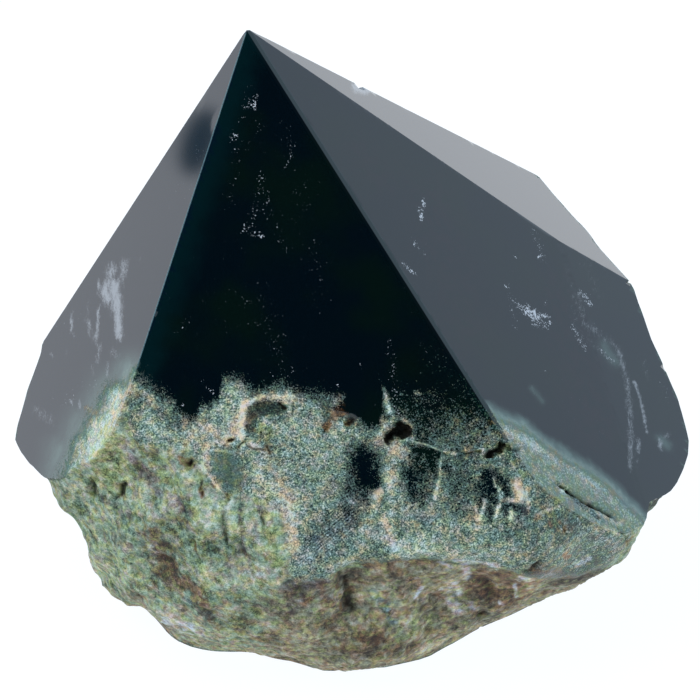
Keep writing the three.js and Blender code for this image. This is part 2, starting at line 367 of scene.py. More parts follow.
# Holes, as strokes with their depth in mm in place of a strength: vugs in the cut stone, pits in the rind and
# the crack under the right face
HOLES = [
    (389, 438, 397, 432, 3.8, 1.8), (397, 434, 406, 431, 5.0, 2.0), (398, 425, 403, 430, 3.4, 1.6),
    (488, 455, 499, 449, 2.4, 1.4), (496, 450, 502, 443, 3.2, 1.5), (503, 446, 510, 446, 4.4, 0.55),
    (512, 449, 519, 450, 2, 0.8), (250, 428, 253, 412, 4.6, 0.42), (258, 409, 262, 409, 7.0, 0.45),
    (266, 409, 277, 408, 8.5, 0.46), (279, 404, 283, 409, 3.2, 0.85), (247, 426, 248, 431, 2.0, 0.7),
    (323, 405, 327, 416, 3.4, 0.5), (330, 424, 325, 432, 1.8, 0.7), (345, 423, 352, 421, 3.2, 0.8),
    (190, 464, 193, 460, 3.2, 1.3), (183, 460, 188, 466, 4, 0.35), (112, 499, 119, 496, 1.8, 0.8),
    (119, 496, 122, 486, 2.4, 1.1), (229, 440, 233, 440, 1.8, 0.9), (239, 448, 244, 443, 1.6, 0.7),
    (268, 446, 270, 454, 1.8, 0.7), (250, 447, 262, 450, 1.4, 0.6), (262, 450, 274, 448, 1.2, 0.5),
    (349, 585, 350, 598, 4.2, 0.6), (348, 603, 353, 611, 5.4, 0.55), (343, 616, 350, 612, 4, 0.3),
    (162, 559, 168, 562, 4.5, 0.32), (160, 566, 164, 572, 4, 0.2), (201, 479, 202, 494, 1.8, 0.8),
    (206, 473, 214, 486, 1.8, 0.55), (226, 493, 228, 501, 1.6, 0.7), (223, 514, 224, 530, 1.8, 0.45),
    (224, 532, 226, 544, 2.2, 0.6), (252, 470, 250, 478, 2.2, 0.5), (248, 482, 246, 490, 2.4, 0.4),
    (262, 518, 264, 524, 1.8, 0.6), (240, 545, 243, 555, 3, 0.45), (191, 545, 197, 562, 2.0, 0.5),
    (87, 482, 90, 499, 3, 0.7), (188, 506, 190, 512, 2, 0.6), (188, 498, 190, 499, 1.6, 0.5),
    (126, 546, 128, 549, 2.4, 0.5), (484, 586, 493, 595, 7.0, 0.40), (496, 596, 499, 600, 4, 0.3),
    (478, 584, 486, 582, 5, 0.25), (525, 573, 532, 572, 3, 0.5), (534, 569, 543, 565, 4, 0.8),
    (480, 622, 488, 618, 4, 0.7), (140, 600, 136, 598, 4, 0.5), (558, 484, 568, 490, 1.3, 0.9),
    (568, 490, 580, 499, 1.8, 1.1), (580, 499, 600, 508, 2.1, 1.1), (600, 508, 612, 515, 1.9, 1.0),
    (614, 516, 622, 532, 1.2, 0.5), (622, 532, 628, 542, 1.4, 0.5), (564, 521, 569, 533, 1.6, 0.5),
    (285, 587, 292, 585, 3, 0.6), (443, 453, 461, 454, 0.9, 0.4), (461, 454, 482, 451, 1.3, 0.7),
    (489, 544, 491, 548, 1.5, 0.6), (294, 405, 293, 414, 1.6, 0.5), (302, 405, 312, 404, 1.2, 0.3),
    (346, 436, 352, 437, 1.5, 0.5), (430, 597, 434, 599, 2, 0.4), (300, 596, 304, 590, 3, 0.4),
    (372, 625, 376, 628, 2.5, 0.4), (215, 560, 217, 566, 2, 0.4), (138, 520, 142, 526, 2.5, 0.4),
    (96, 528, 99, 533, 2.2, 0.4), (140, 441, 142, 456, 1.6, 0.4), (108, 511, 116, 516, 2.2, 0.4),
    (176, 505, 182, 512, 3, 0.5), (150, 492, 156, 500, 2, 0.4), (229, 548, 234, 560, 2, 0.4),
    (262, 556, 266, 566, 2, 0.4), (130, 566, 136, 574, 2.4, 0.4), (188, 586, 196, 594, 2.2, 0.4),
    (206, 540, 208, 552, 1.8, 0.4), (376, 596, 380, 603, 2.4, 0.35), (408, 572, 416, 576, 2.2, 0.35),
    (432, 616, 440, 620, 2.6, 0.35),
]
# the chip out of the ridge behind the tip
CHIP = [(356, 88, 367, 90, 5, 1.0)]
HOLE_RAGGED = 2.6
HOLE_RIM = 3
holes = np.zeros(count)
for x, y, to_x, to_y, half, deep in HOLES:
    holes = np.maximum(holes, smear([(x, y, to_x, to_y, half, 1.0)], HOLE_RAGGED) * deep)

# The vugs of the cut stone, which leave the rim of a ground face as it is, and the small spots that the
# grinding only just missed, which are finished as ground stone
VUGS_RIGHT_OF = 225
VUGS_ABOVE = 500
vugs = [
    (x, y, to_x, to_y, half + HOLE_RIM, 1.0)
    for x, y, to_x, to_y, half, _ in HOLES if to_y < VUGS_ABOVE and x > VUGS_RIGHT_OF
]
in_hole = (smear(vugs) > 0.1) | (smear(CHIP) > 0.2)
outer_rind = ~ground & ~in_hole
into_face = gap_to(outer_rind)
into_rind = gap_to(ground)
NO_RIND_ABOVE = 350
FAR_SIDE = (640, 470)
far_side = (seen_x > FAR_SIDE[0]) & (seen_y < FAR_SIDE[1])
ground_island = outer_rind & ((seen_y < NO_RIND_ABOVE) | far_side)

# The rind: where it starts on the show side, and everywhere else wherever the stone wasn't ground
RIND_TOP = [
    (60, 480), (86, 474), (104, 440), (126, 429), (140, 448), (165, 446), (190, 448), (204, 466), (216, 492),
    (250, 496), (262, 500), (284, 512), (292, 586), (330, 577), (352, 563), (420, 557), (490, 568),
    (540, 580), (575, 576), (610, 562), (626, 545), (640, 528), (700, 500),
]
SOFT_EDGE = 14
RIND_TOP_BETWEEN = (130, 632)
rind = np.where(ground, 0.0, 1.0)
rind_in_view = ease(0.5 + below(RIND_TOP, 2.5) / SOFT_EDGE)
middle_part = (seen_x > RIND_TOP_BETWEEN[0]) & (seen_x < RIND_TOP_BETWEEN[1]) & (seen_y > NO_RIND_ABOVE)
rind = np.where(middle_part, in_view * rind_in_view + (1 - in_view) * rind, rind)
rind = np.where((face_of == left_face) | (face_of == base_face) | ground_island, 0.0, rind)

# How pale the stone is: 0 is dark green, 1 nearly white, and -1 leaves a ground face polished and clear.
# The pale grains of the show face start at this line, x and y, and thicken over the given depth in pixels.
GRAIN_TOP = [
    (90, 374, 16), (135, 366, 22), (150, 378, 26), (165, 388, 26), (180, 402, 22), (197, 410, 16),
    (200, 394, 16), (219, 397, 14), (222, 374, 14), (240, 370, 18), (256, 386, 18), (268, 384, 16),
    (283, 376, 16), (300, 386, 16), (330, 390, 16), (342, 396, 18), (350, 406, 20), (358, 416, 16),
    (368, 424, 12), (379, 426, 10), (384, 398, 44), (400, 394, 64), (430, 384, 110), (460, 376, 110),
    (480, 392, 70), (500, 410, 44), (560, 430, 40), (640, 430, 40),
]
GRAIN_ON_RIGHT = [
    (488, 408), (500, 417), (522, 424), (545, 443), (566, 456), (600, 476), (622, 496), (645, 520),
]
# strokes of paler and of darker stone, over the grains and the rind; the darker strokes in the pits and
# grooves of the rind are painted shade
PALE = [
    (131, 384, 116, 424, 9, 0.08), (222, 508, 226, 556, 10, 0.10), (250, 512, 262, 556, 12, 0.08),
    (150, 480, 240, 520, 60, 0.05), (262, 424, 284, 424, 6, 0.10), (104, 440, 118, 436, 8, 0.08),
    (262, 500, 264, 560, 14, 0.05), (98, 440, 122, 470, 12, 0.06), (250, 575, 262, 585, 14, 0.06),
    (300, 600, 440, 590, 14, 0.04), (98, 450, 116, 478, 14, 0.10), (216, 405, 232, 432, 9, 0.14),
    (229, 508, 232, 558, 2.2, 0.16), (246, 512, 248, 556, 2.0, 0.16), (258, 512, 259, 556, 1.8, 0.14),
    (270, 506, 272, 556, 4, 0.08), (278, 508, 280, 556, 2.0, 0.14), (216, 556, 222, 590, 5, 0.06),
    (300, 622, 316, 640, 6, 0.08), (222, 612, 240, 616, 5, 0.12), (262, 622, 280, 634, 6, 0.10),
    (385, 606, 392, 616, 6, 0.10), (404, 604, 416, 612, 6, 0.08), (440, 578, 452, 586, 6, 0.10),
    (330, 640, 350, 648, 6, 0.06), (372, 606, 380, 616, 6, 0.10), (150, 600, 176, 612, 6, 0.08),
    (186, 560, 200, 552, 5, 0.08), (206, 430, 240, 424, 12, 0.16), (150, 425, 180, 436, 9, 0.08),
    (280, 420, 345, 440, 16, 0.06), (200, 500, 206, 540, 6, 0.14), (182, 485, 190, 478, 6, 0.14),
    (168, 466, 176, 474, 6, 0.10), (232, 520, 236, 536, 3, 0.16), (243, 560, 256, 566, 5, 0.12),
    (206, 566, 214, 590, 6, 0.12), (360, 600, 380, 596, 8, 0.16), (400, 626, 416, 618, 6, 0.14),
    (320, 618, 330, 624, 5, 0.10), (540, 540, 570, 548, 10, 0.08), (104, 570, 114, 584, 5, 0.12),
    (130, 506, 136, 516, 5, 0.10), (380, 432, 394, 418, 3.5, 0.36), (386, 442, 412, 438, 3.0, 0.36),
    (404, 420, 412, 427, 3.0, 0.40), (392, 448, 404, 452, 7, 0.28), (383, 387, 390, 412, 3.2, 0.85),
    (379, 373, 382, 386, 2.0, 1.0), (416, 393, 420, 394, 2.0, 0.8), (399, 393, 402, 394, 1.2, 0.6),
    (410, 439, 428, 446, 1.0, 0.60), (428, 446, 441, 451, 1.1, 0.62), (441, 452, 440, 475, 1.0, 0.48),
    (440, 475, 437, 487, 1.3, 0.50), (437, 487, 435, 499, 2.0, 0.50), (441, 451, 455, 453, 1.1, 0.55),
    (455, 453, 484, 449, 1.1, 0.40), (448, 452, 454, 464, 1.2, 0.25), (388, 470, 390, 490, 5, 0.22),
    (392, 490, 392, 545, 4, 0.10), (485, 500, 480, 519, 2.2, 0.90), (476, 507, 477, 518, 2.0, 0.60),
    (494, 478, 496, 487, 1.2, 0.70), (499, 487, 500, 496, 1.4, 0.70), (503, 492, 500, 505, 1.3, 0.60),
    (499, 506, 494, 519, 1.8, 0.70), (504, 500, 520, 500, 2.4, 0.4), (517, 486, 523, 496, 5.5, 0.42),
    (512, 508, 511, 519, 2.2, 0.60), (236, 452, 206, 450, 1.4, 0.3), (526, 486, 528, 508, 2.2, 0.35),
    (537, 515, 559, 508, 1.6, 0.3), (374, 496, 380, 490, 4.4, 0.45), (371, 501, 375, 508, 1.6, 0.4),
    (345, 504, 363, 501, 0.9, 0.30), (383, 520, 388, 528, 4, 0.25), (364, 530, 369, 534, 4, 0.16),
    (372, 465, 374, 470, 1.0, 0.3), (243, 404, 241, 438, 3.4, 0.50), (246, 402, 262, 397, 2.6, 0.45),
    (262, 396, 292, 397, 3.0, 0.36), (284, 400, 292, 418, 3.0, 0.22), (226, 434, 240, 434, 5.0, 0.30),
    (222, 442, 244, 446, 2.2, 0.30), (206, 445, 220, 442, 4, 0.22), (207, 450, 203, 466, 2.6, 0.30),
    (203, 468, 221, 492, 1.8, 0.45), (222, 493, 236, 494, 1.6, 0.3), (250, 444, 260, 447, 2.0, 0.32),
    (312, 401, 298, 410, 1.5, 0.35), (300, 410, 290, 428, 2.0, 0.2), (336, 402, 346, 394, 3.0, 0.3),
    (332, 412, 335, 416, 2.5, 0.3), (341, 425, 345, 418, 2.0, 0.35), (352, 425, 360, 420, 2.2, 0.35),
    (258, 470, 262, 500, 5, 0.20), (270, 490, 290, 500, 10, 0.20), (290, 505, 294, 545, 6, 0.26),
    (272, 505, 268, 520, 3, 0.28), (265, 550, 262, 570, 3, 0.26), (229, 505, 227, 512, 1.8, 0.32),
    (208, 500, 208, 520, 6, 0.16), (212, 515, 216, 535, 3, 0.18), (250, 528, 254, 540, 3, 0.25),
    (120, 470, 124, 482, 4, 0.20), (143, 505, 150, 515, 5, 0.22), (145, 485, 141, 492, 2, 0.28),
    (400, 548, 430, 545, 10, 0.18), (420, 552, 500, 555, 8, 0.18), (355, 560, 335, 565, 8, 0.18),
    (510, 548, 530, 556, 8, 0.12), (462, 415, 455, 412, 12, -0.05), (500, 425, 540, 450, 5, 0.22),
    (540, 452, 600, 488, 8, 0.10), (612, 500, 636, 520, 5, 0.10), (562, 491, 570, 493, 1.6, 0.4),
    (596, 512, 620, 524, 2, 0.22), (603, 528, 624, 537, 2.4, 0.28), (592, 528, 598, 530, 3, 0.2),
    (230, 505, 233, 497, 3, 0.22), (150, 548, 147, 546, 3, 0.15), (160, 622, 190, 630, 9, 0.04),
    (90, 560, 100, 575, 6, 0.16), (170, 640, 190, 645, 5, 0.1), (424, 653, 460, 640, 4, 0.2),
    (620, 555, 632, 535, 4, 0.1), (145, 393, 152, 400, 4, 0.2), (226, 380, 236, 392, 5, 0.12),
]
# darker stone, and painted shade in the pits and grooves of the rind
DARKER_STONE_AND_SHADE = [
    (252, 426, 254, 412, 5, 0.22), (262, 409, 278, 408, 9, 0.30), (420, 460, 424, 486, 13, 0.16),
    (492, 474, 496, 500, 14, 0.16), (650, 508, 670, 494, 7, 0.40), (347, 584, 352, 610, 5, 0.30),
    (163, 558, 168, 564, 4, 0.30), (484, 584, 496, 597, 6, 0.25), (214, 466, 226, 486, 12, 0.05),
    (394, 362, 436, 408, 20, 0.08), (448, 400, 484, 432, 16, 0.03), (418, 454, 420, 492, 14, 0.34),
    (463, 462, 464, 498, 14, 0.20), (350, 492, 364, 500, 12, 0.14), (214, 456, 216, 480, 4, 0.12),
    (240, 458, 240, 486, 4, 0.12), (226, 456, 230, 486, 12, 0.18), (250, 428, 252, 414, 4.6, 0.20),
    (256, 406, 278, 405, 6.0, 0.20), (262, 411, 276, 413, 4, 0.12), (264, 404, 274, 408, 3, 0.16),
    (263, 429, 272, 434, 5, 0.16), (336, 411, 350, 409, 8, 0.30), (345, 418, 352, 424, 4, 0.35),
    (326, 424, 330, 416, 4, 0.2), (120, 500, 190, 550, 26, 0.05), (140, 446, 142, 460, 2, 0.2),
    (176, 504, 184, 514, 5, 0.18), (224, 512, 226, 546, 2.2, 0.26), (240, 508, 241, 540, 1.8, 0.16),
    (253, 530, 254, 560, 2.2, 0.2), (262, 514, 264, 536, 1.8, 0.2), (232, 545, 236, 562, 2.4, 0.18),
    (209, 545, 210, 575, 2, 0.14), (349, 582, 351, 614, 8, 0.16), (480, 584, 496, 598, 9, 0.22),
    (160, 556, 172, 572, 8, 0.16), (90, 482, 93, 500, 3, 0.2), (112, 500, 121, 492, 4, 0.16),
    (385, 560, 392, 566, 3, 0.14), (305, 612, 320, 628, 7, 0.12), (400, 590, 408, 600, 5, 0.14),
    (430, 600, 438, 612, 5, 0.12), (262, 604, 275, 612, 6, 0.12), (232, 622, 246, 628, 5, 0.1),
    (346, 626, 360, 634, 5, 0.12), (496, 474, 506, 492, 7, 0.50), (478, 486, 492, 500, 8, 0.45),
    (500, 496, 505, 512, 5, 0.4), (366, 452, 372, 456, 8, 0.40), (430, 384, 470, 402, 14, 0.16),
    (600, 560, 560, 576, 5, 0.20), (110, 455, 118, 466, 3, 0.15), (240, 520, 246, 530, 4, 0.15),
    (180, 520, 186, 530, 5, 0.12), (420, 608, 440, 616, 6, 0.12), (395, 580, 410, 590, 6, 0.12),
    (455, 620, 468, 625, 5, 0.15), (362, 458, 366, 480, 13, 0.75), (372, 468, 372, 482, 9, 0.65),
    (350, 486, 362, 496, 10, 0.40), (345, 505, 352, 522, 8, 0.28), (412, 448, 436, 454, 5, 0.48),
    (432, 458, 434, 474, 6, 0.42), (410, 474, 414, 496, 8, 0.50), (424, 476, 426, 494, 6, 0.30),
    (404, 465, 402, 480, 4, 0.30), (487, 476, 492, 488, 9, 0.62), (496, 478, 508, 482, 5, 0.42),
    (486, 496, 480, 510, 9, 0.48), (468, 500, 462, 508, 8, 0.22), (508, 490, 504, 505, 4, 0.42),
    (490, 508, 492, 520, 4, 0.45), (508, 506, 524, 510, 5, 0.42), (522, 508, 520, 516, 3, 0.3),
    (447, 466, 452, 474, 6, 0.28), (455, 480, 458, 500, 10, 0.20), (316, 540, 346, 510, 12, 0.14),
    (330, 558, 345, 545, 10, 0.12), (204, 400, 216, 385, 7, 0.30), (184, 404, 192, 412, 7, 0.3),
    (428, 420, 424, 436, 7, 0.22), (440, 410, 444, 440, 6, 0.12), (476, 462, 512, 462, 6, 0.14),
    (355, 444, 360, 448, 5, 0.22), (133, 400, 130, 425, 5, 0.10), (160, 415, 175, 425, 7, 0.14),
    (135, 445, 140, 452, 5, 0.14), (228, 452, 220, 460, 4, 0.16), (216, 462, 228, 488, 8, 0.16),
    (240, 466, 238, 488, 5, 0.14), (265, 430, 272, 436, 6, 0.12), (300, 414, 306, 410, 5, 0.15),
    (98, 500, 115, 505, 5, 0.18), (135, 470, 150, 480, 6, 0.12), (150, 500, 156, 508, 3, 0.25),
    (150, 530, 172, 552, 12, 0.22), (160, 575, 172, 590, 8, 0.28), (198, 606, 206, 618, 7, 0.18),
    (210, 600, 260, 606, 3, 0.18), (178, 500, 184, 506, 5, 0.2), (234, 540, 244, 552, 6, 0.18),
    (246, 550, 262, 560, 5, 0.12), (290, 600, 300, 590, 7, 0.20), (305, 590, 320, 584, 7, 0.18),
    (330, 600, 340, 612, 4, 0.2), (290, 615, 330, 630, 12, 0.10), (366, 640, 378, 645, 8, 0.22),
    (344, 655, 400, 652, 6, 0.14), (470, 600, 512, 600, 12, 0.18), (500, 580, 515, 590, 5, 0.15),
    (470, 590, 480, 605, 6, 0.12), (530, 575, 570, 575, 5, 0.24), (556, 582, 600, 572, 7, 0.24),
    (480, 622, 500, 616, 5, 0.2), (392, 560, 440, 563, 3, 0.18), (360, 562, 366, 568, 4, 0.24),
    (460, 566, 480, 570, 3, 0.16), (555, 525, 560, 540, 8, 0.12), (565, 515, 575, 530, 5, 0.12),
    (506, 520, 530, 540, 14, 0.10), (150, 455, 160, 462, 4, 0.12), (118, 585, 135, 596, 5, 0.14),
    (75, 505, 82, 520, 4, 0.1),
]
# pale crystalline crust
ICE = [
    (465, 566, 468, 580, 4.5, 1.0), (440, 563, 450, 572, 4, 0.7), (455, 562, 498, 566, 3, 0.7),
    (455, 586, 462, 596, 3.5, 0.9), (450, 602, 460, 614, 5, 0.9), (470, 606, 478, 614, 4.5, 0.8),
    (416, 600, 423, 591, 2.6, 1.0), (515, 589, 518, 598, 2.4, 1.0), (501, 604, 504, 607, 2.2, 0.9),
    (164, 622, 200, 634, 7, 0.7), (576, 566, 590, 558, 3, 0.7), (520, 580, 536, 582, 2.5, 0.8),
    (310, 592, 322, 600, 7, 0.25), (386, 536, 396, 548, 7, 0.45), (212, 498, 216, 506, 3, 0.5),
    (148, 548, 150, 552, 3, 0.6), (280, 512, 284, 518, 4, 0.4), (228, 585, 262, 574, 8, 0.3),
]
# milky green haze in the polished stone, where grains lie just under it
HAZE = [
    (132, 374, 118, 400, 16, 0.9), (114, 396, 92, 436, 20, 0.9), (90, 430, 72, 470, 20, 0.9),
    (60, 450, 56, 474, 14, 0.5),
]
HAZE_ON_RIGHT = [
    (532, 388, 542, 402, 3, 0.25), (604, 346, 616, 362, 5, 0.35), (660, 438, 668, 446, 4, 0.5),
]
# the pale grains of the left face
ON_LEFT = [
    (140, 374, 126, 408, 16, 0.96), (118, 397, 105, 431, 27, 1.00), (101, 429, 91, 465, 28, 1.04),
    (83, 443, 73, 475, 20, 0.94), (86, 407, 91, 411, 4.5, 0.86), (60, 464, 58, 478, 9, 0.60),
    (40, 412, 58, 420, 6, 0.46),
]
POLISHED = -1
RIND_LIGHT = 0.54
SHOW_GRAINS = 1.58
RIGHT_GRAINS = 1.62
LEFT_GRAINS = 1.86
BACK_GRAINS = 1.5
RIM_REACH = 4
SIDE_FACE_FROM = 648
GRAINS_BELOW = 400
top_x, top_y, top_depth = np.array(GRAIN_TOP).T
grain_depth = below([(x, y) for x, y, _ in GRAIN_TOP], 1.5) / np.interp(seen_x, top_x, top_depth)
show_light = POLISHED + SHOW_GRAINS * ease((grain_depth + 1.5) / 2.8)
right_depth = below(GRAIN_ON_RIGHT, 2.0)
right_light = POLISHED + RIGHT_GRAINS * ease(0.58 + right_depth / 23)
left_light = POLISHED + LEFT_GRAINS * np.clip(smear(ON_LEFT, 2.5), 0, 1)
rim_glow = -0.6 + 0.9 * np.exp(-(into_face / (1.0 + 0.5 * ripple(8, 3))) ** 2)
rim_light = np.where(into_face < RIM_REACH, rim_glow, POLISHED)
light = np.full(count, RIND_LIGHT)
light = np.where((face_of == show_face) | (face_of == bevel_face), show_light, light)
light = np.where(ground & (face_of != show_face) & (face_of != bevel_face), rim_light, light)
on_right = (face_of == right_face) | (face_of == side_face)
low_on_right = on_right & (seen_x < SIDE_FACE_FROM) & (seen_y > GRAINS_BELOW)
light = np.where(low_on_right, np.maximum(right_light, rim_light), light)
light = np.where(face_of == left_face, np.maximum(left_light, rim_light), light)
light = np.where(face_of == base_face, 0.3 + 0.25 * ripple(9, 41), light)
cut_back = ground & (face_of != base_face) & (hidden > 0.5)
back_rim = ease(1 - into_face / (4.0 + 2.5 * ripple(9, 33)))
light = np.where(cut_back, POLISHED + BACK_GRAINS * back_rim, light)
light += hidden * np.where(ground, 0, 0.14 * ripple(8, 31) + 0.12 * ripple(3.5, 32))
light = np.where(ground_island & (hidden < 1), POLISHED, light)
light = light + smear(PALE, 0.9) - 1.2 * smear(DARKER_STONE_AND_SHADE, 2.2) + 0.20 * smear(ICE, 1)

# Where the stone turns mossy, rusty, cream, blue or plum, and where veils and white flecks lie in it
MOSS = [
    (110, 434, 120, 442, 9, 1.1), (102, 455, 118, 466, 11, 1.2), (94, 480, 114, 488, 10, 1.0),
    (410, 360, 474, 436, 20, 0.30), (222, 458, 234, 486, 14, 0.35), (380, 600, 440, 634, 16, 0.45),
    (470, 612, 500, 604, 6, 0.4), (216, 600, 236, 640, 10, 0.35), (318, 600, 322, 640, 8, 0.4),
    (262, 428, 273, 436, 6, 0.7), (120, 560, 140, 580, 10, 0.35), (440, 622, 400, 640, 8, 0.5),
    (98, 470, 116, 440, 12, 1.0), (104, 484, 124, 478, 10, 0.9), (150, 456, 176, 480, 12, 0.5),
    (100, 520, 140, 515, 16, 0.35), (196, 500, 208, 545, 10, 0.55), (228, 515, 232, 560, 8, 0.45),
    (268, 515, 276, 560, 7, 1.0), (256, 500, 266, 500, 5, 0.8), (95, 565, 112, 580, 10, 0.6),
    (205, 590, 200, 565, 8, 0.6), (170, 490, 190, 478, 8, 0.6), (90, 500, 92, 520, 8, 0.5),
    (560, 500, 552, 520, 8, 0.55), (516, 465, 524, 472, 5, 0.5), (440, 630, 520, 615, 10, 0.25),
    (240, 618, 250, 625, 8, 0.4), (500, 448, 508, 444, 5, 0.8), (352, 445, 358, 442, 6, 0.4),
    (380, 568, 400, 566, 6, 0.3), (480, 450, 490, 444, 5, 0.4), (265, 425, 270, 438, 5, 0.3),
]
RUST = [
    (517, 486, 523, 497, 5, 0.35), (500, 580, 526, 592, 9, 1.2), (150, 545, 176, 575, 12, 0.3),
    (365, 566, 400, 580, 3, 0.6), (300, 610, 312, 600, 5, 0.6), (324, 622, 330, 634, 5, 0.6),
    (224, 606, 240, 600, 4, 0.6), (250, 640, 280, 646, 4, 0.7), (208, 622, 218, 630, 4, 0.6),
    (440, 612, 452, 622, 5, 0.5), (412, 584, 420, 590, 4, 0.5), (140, 460, 150, 470, 4, 0.4),
    (160, 556, 170, 572, 7, 0.9), (176, 520, 190, 530, 6, 0.5), (428, 580, 438, 586, 3, 0.6),
    (150, 530, 168, 560, 12, 0.60), (160, 575, 180, 588, 10, 0.85), (182, 580, 203, 604, 6, 1.0),
    (148, 590, 158, 585, 6, 0.5), (205, 612, 290, 645, 14, 0.35), (324, 590, 330, 605, 6, 0.55),
    (341, 590, 344, 612, 3, 0.9), (366, 566, 400, 572, 5, 0.8), (388, 562, 440, 566, 4, 0.6),
    (364, 640, 380, 643, 10, 0.9), (340, 655, 420, 652, 9, 0.5), (402, 610, 440, 596, 10, 0.5),
    (476, 578, 528, 586, 6, 0.95), (476, 592, 504, 600, 13, 1.05), (508, 604, 530, 590, 7, 1.0),
    (440, 600, 456, 592, 6, 0.5), (180, 458, 190, 466, 5, 1.0), (201, 488, 202, 496, 2.4, 1.0),
    (193, 548, 197, 560, 2, 0.9), (336, 412, 350, 408, 7, 1.0), (327, 428, 332, 416, 4, 0.9),
    (346, 424, 352, 420, 3, 1.0), (430, 632, 440, 636, 8, 0.5), (566, 557, 569, 557, 3, 1.0),
    (532, 574, 560, 572, 5, 0.6), (338, 269, 339, 271, 2, 1.0), (339, 138, 340, 140, 1.6, 0.8),
    (549, 522, 551, 526, 2.4, 0.8), (230, 439, 233, 441, 2.2, 0.8), (148, 466, 150, 474, 4, 0.5),
    (560, 520, 570, 530, 4, 0.5), (628, 545, 634, 535, 4, 0.5), (262, 545, 264, 560, 2.6, 0.5),
    (212, 482, 215, 488, 2.2, 0.6), (295, 640, 315, 632, 10, 0.3), (130, 594, 142, 600, 5, 0.6),
    (380, 570, 384, 560, 4, 0.4), (230, 500, 232, 496, 3, 0.3), (100, 462, 92, 480, 4, 0.4),
]
CREAM = [
    (130, 388, 114, 426, 8, 0.6), (226, 440, 246, 415, 9, 0.9), (246, 402, 300, 398, 7, 0.7),
    (186, 425, 225, 440, 14, 0.6), (206, 446, 209, 470, 5, 0.8), (209, 472, 222, 492, 3, 0.8),
    (250, 445, 262, 450, 4, 0.8), (264, 455, 290, 500, 14, 0.5), (286, 505, 294, 550, 9, 0.75),
    (214, 505, 218, 530, 5, 0.5), (382, 440, 404, 456, 8, 0.9), (390, 460, 390, 490, 6, 0.5),
    (518, 484, 522, 499, 6, 1.0), (504, 500, 516, 500, 4, 0.9), (375, 494, 379, 490, 5, 1.0),
    (470, 446, 500, 434, 9, 0.5), (526, 490, 528, 510, 4, 0.7), (537, 515, 558, 508, 3, 0.9),
    (384, 520, 388, 530, 5, 0.7), (476, 506, 478, 519, 3, 0.8), (437, 486, 436, 498, 3, 0.6),
    (120, 428, 112, 432, 5, 0.7), (140, 395, 158, 408, 8, 0.4), (345, 564, 335, 568, 8, 0.5),
    (404, 420, 412, 428, 4, 0.8), (380, 420, 392, 432, 5, 0.7), (364, 528, 370, 535, 5, 0.6),
    (252, 528, 256, 548, 6, 0.5), (595, 528, 602, 532, 4, 0.6), (86, 406, 92, 412, 4, 0.8),
    (332, 402, 345, 396, 5, 0.5), (540, 485, 560, 510, 8, 0.35), (140, 485, 150, 490, 5, 0.5),
]
BLUE = [
    (512, 434, 560, 462, 12, 0.50), (560, 462, 640, 516, 12, 0.50), (385, 604, 394, 622, 7, 0.9),
    (372, 596, 380, 606, 7, 0.7), (300, 604, 312, 612, 6, 0.5), (184, 600, 196, 610, 7, 0.6),
    (450, 590, 456, 600, 5, 0.6), (176, 506, 184, 512, 6, 0.7), (150, 560, 160, 545, 6, 0.4),
    (206, 618, 226, 624, 6, 0.5), (110, 512, 120, 520, 8, 0.5), (310, 560, 350, 510, 18, 0.55),
    (320, 540, 345, 520, 14, 0.7), (345, 495, 360, 505, 10, 0.6), (568, 500, 610, 520, 12, 0.5),
    (320, 420, 340, 450, 16, 0.35), (400, 505, 430, 520, 14, 0.4), (580, 530, 612, 545, 10, 0.5),
    (386, 612, 396, 604, 6, 0.6), (540, 456, 600, 485, 8, 0.25), (510, 430, 540, 450, 6, 0.3),
    (100, 500, 118, 505, 5, 0.5), (330, 480, 325, 500, 10, 0.3),
]
PLUM = [
    (430, 200, 470, 330, 26, 0.45), (560, 290, 600, 430, 26, 0.50), (360, 150, 385, 180, 16, 0.4),
    (240, 510, 244, 556, 3, 0.7), (256, 520, 258, 556, 3, 0.7), (286, 580, 345, 604, 10, 0.5),
    (152, 544, 160, 552, 5, 0.8), (206, 510, 212, 530, 3, 0.5), (268, 574, 284, 580, 6, 0.5),
    (130, 452, 140, 474, 7, 0.8), (146, 480, 160, 494, 7, 0.7), (146, 505, 158, 518, 8, 0.6),
    (174, 502, 178, 512, 6, 0.9), (240, 570, 262, 580, 9, 0.6), (256, 500, 260, 508, 4, 0.8),
    (140, 540, 160, 555, 12, 0.6), (228, 560, 240, 552, 6, 0.5), (286, 590, 325, 582, 10, 0.8),
    (290, 612, 300, 600, 8, 0.7), (345, 580, 400, 590, 14, 0.35), (246, 476, 244, 490, 3, 0.5),
    (290, 640, 320, 632, 10, 0.4), (170, 606, 200, 618, 10, 0.4), (110, 540, 126, 550, 8, 0.5),
    (425, 520, 445, 540, 8, 0.2), (600, 538, 618, 545, 6, 0.4), (268, 460, 280, 475, 8, 0.25),
]
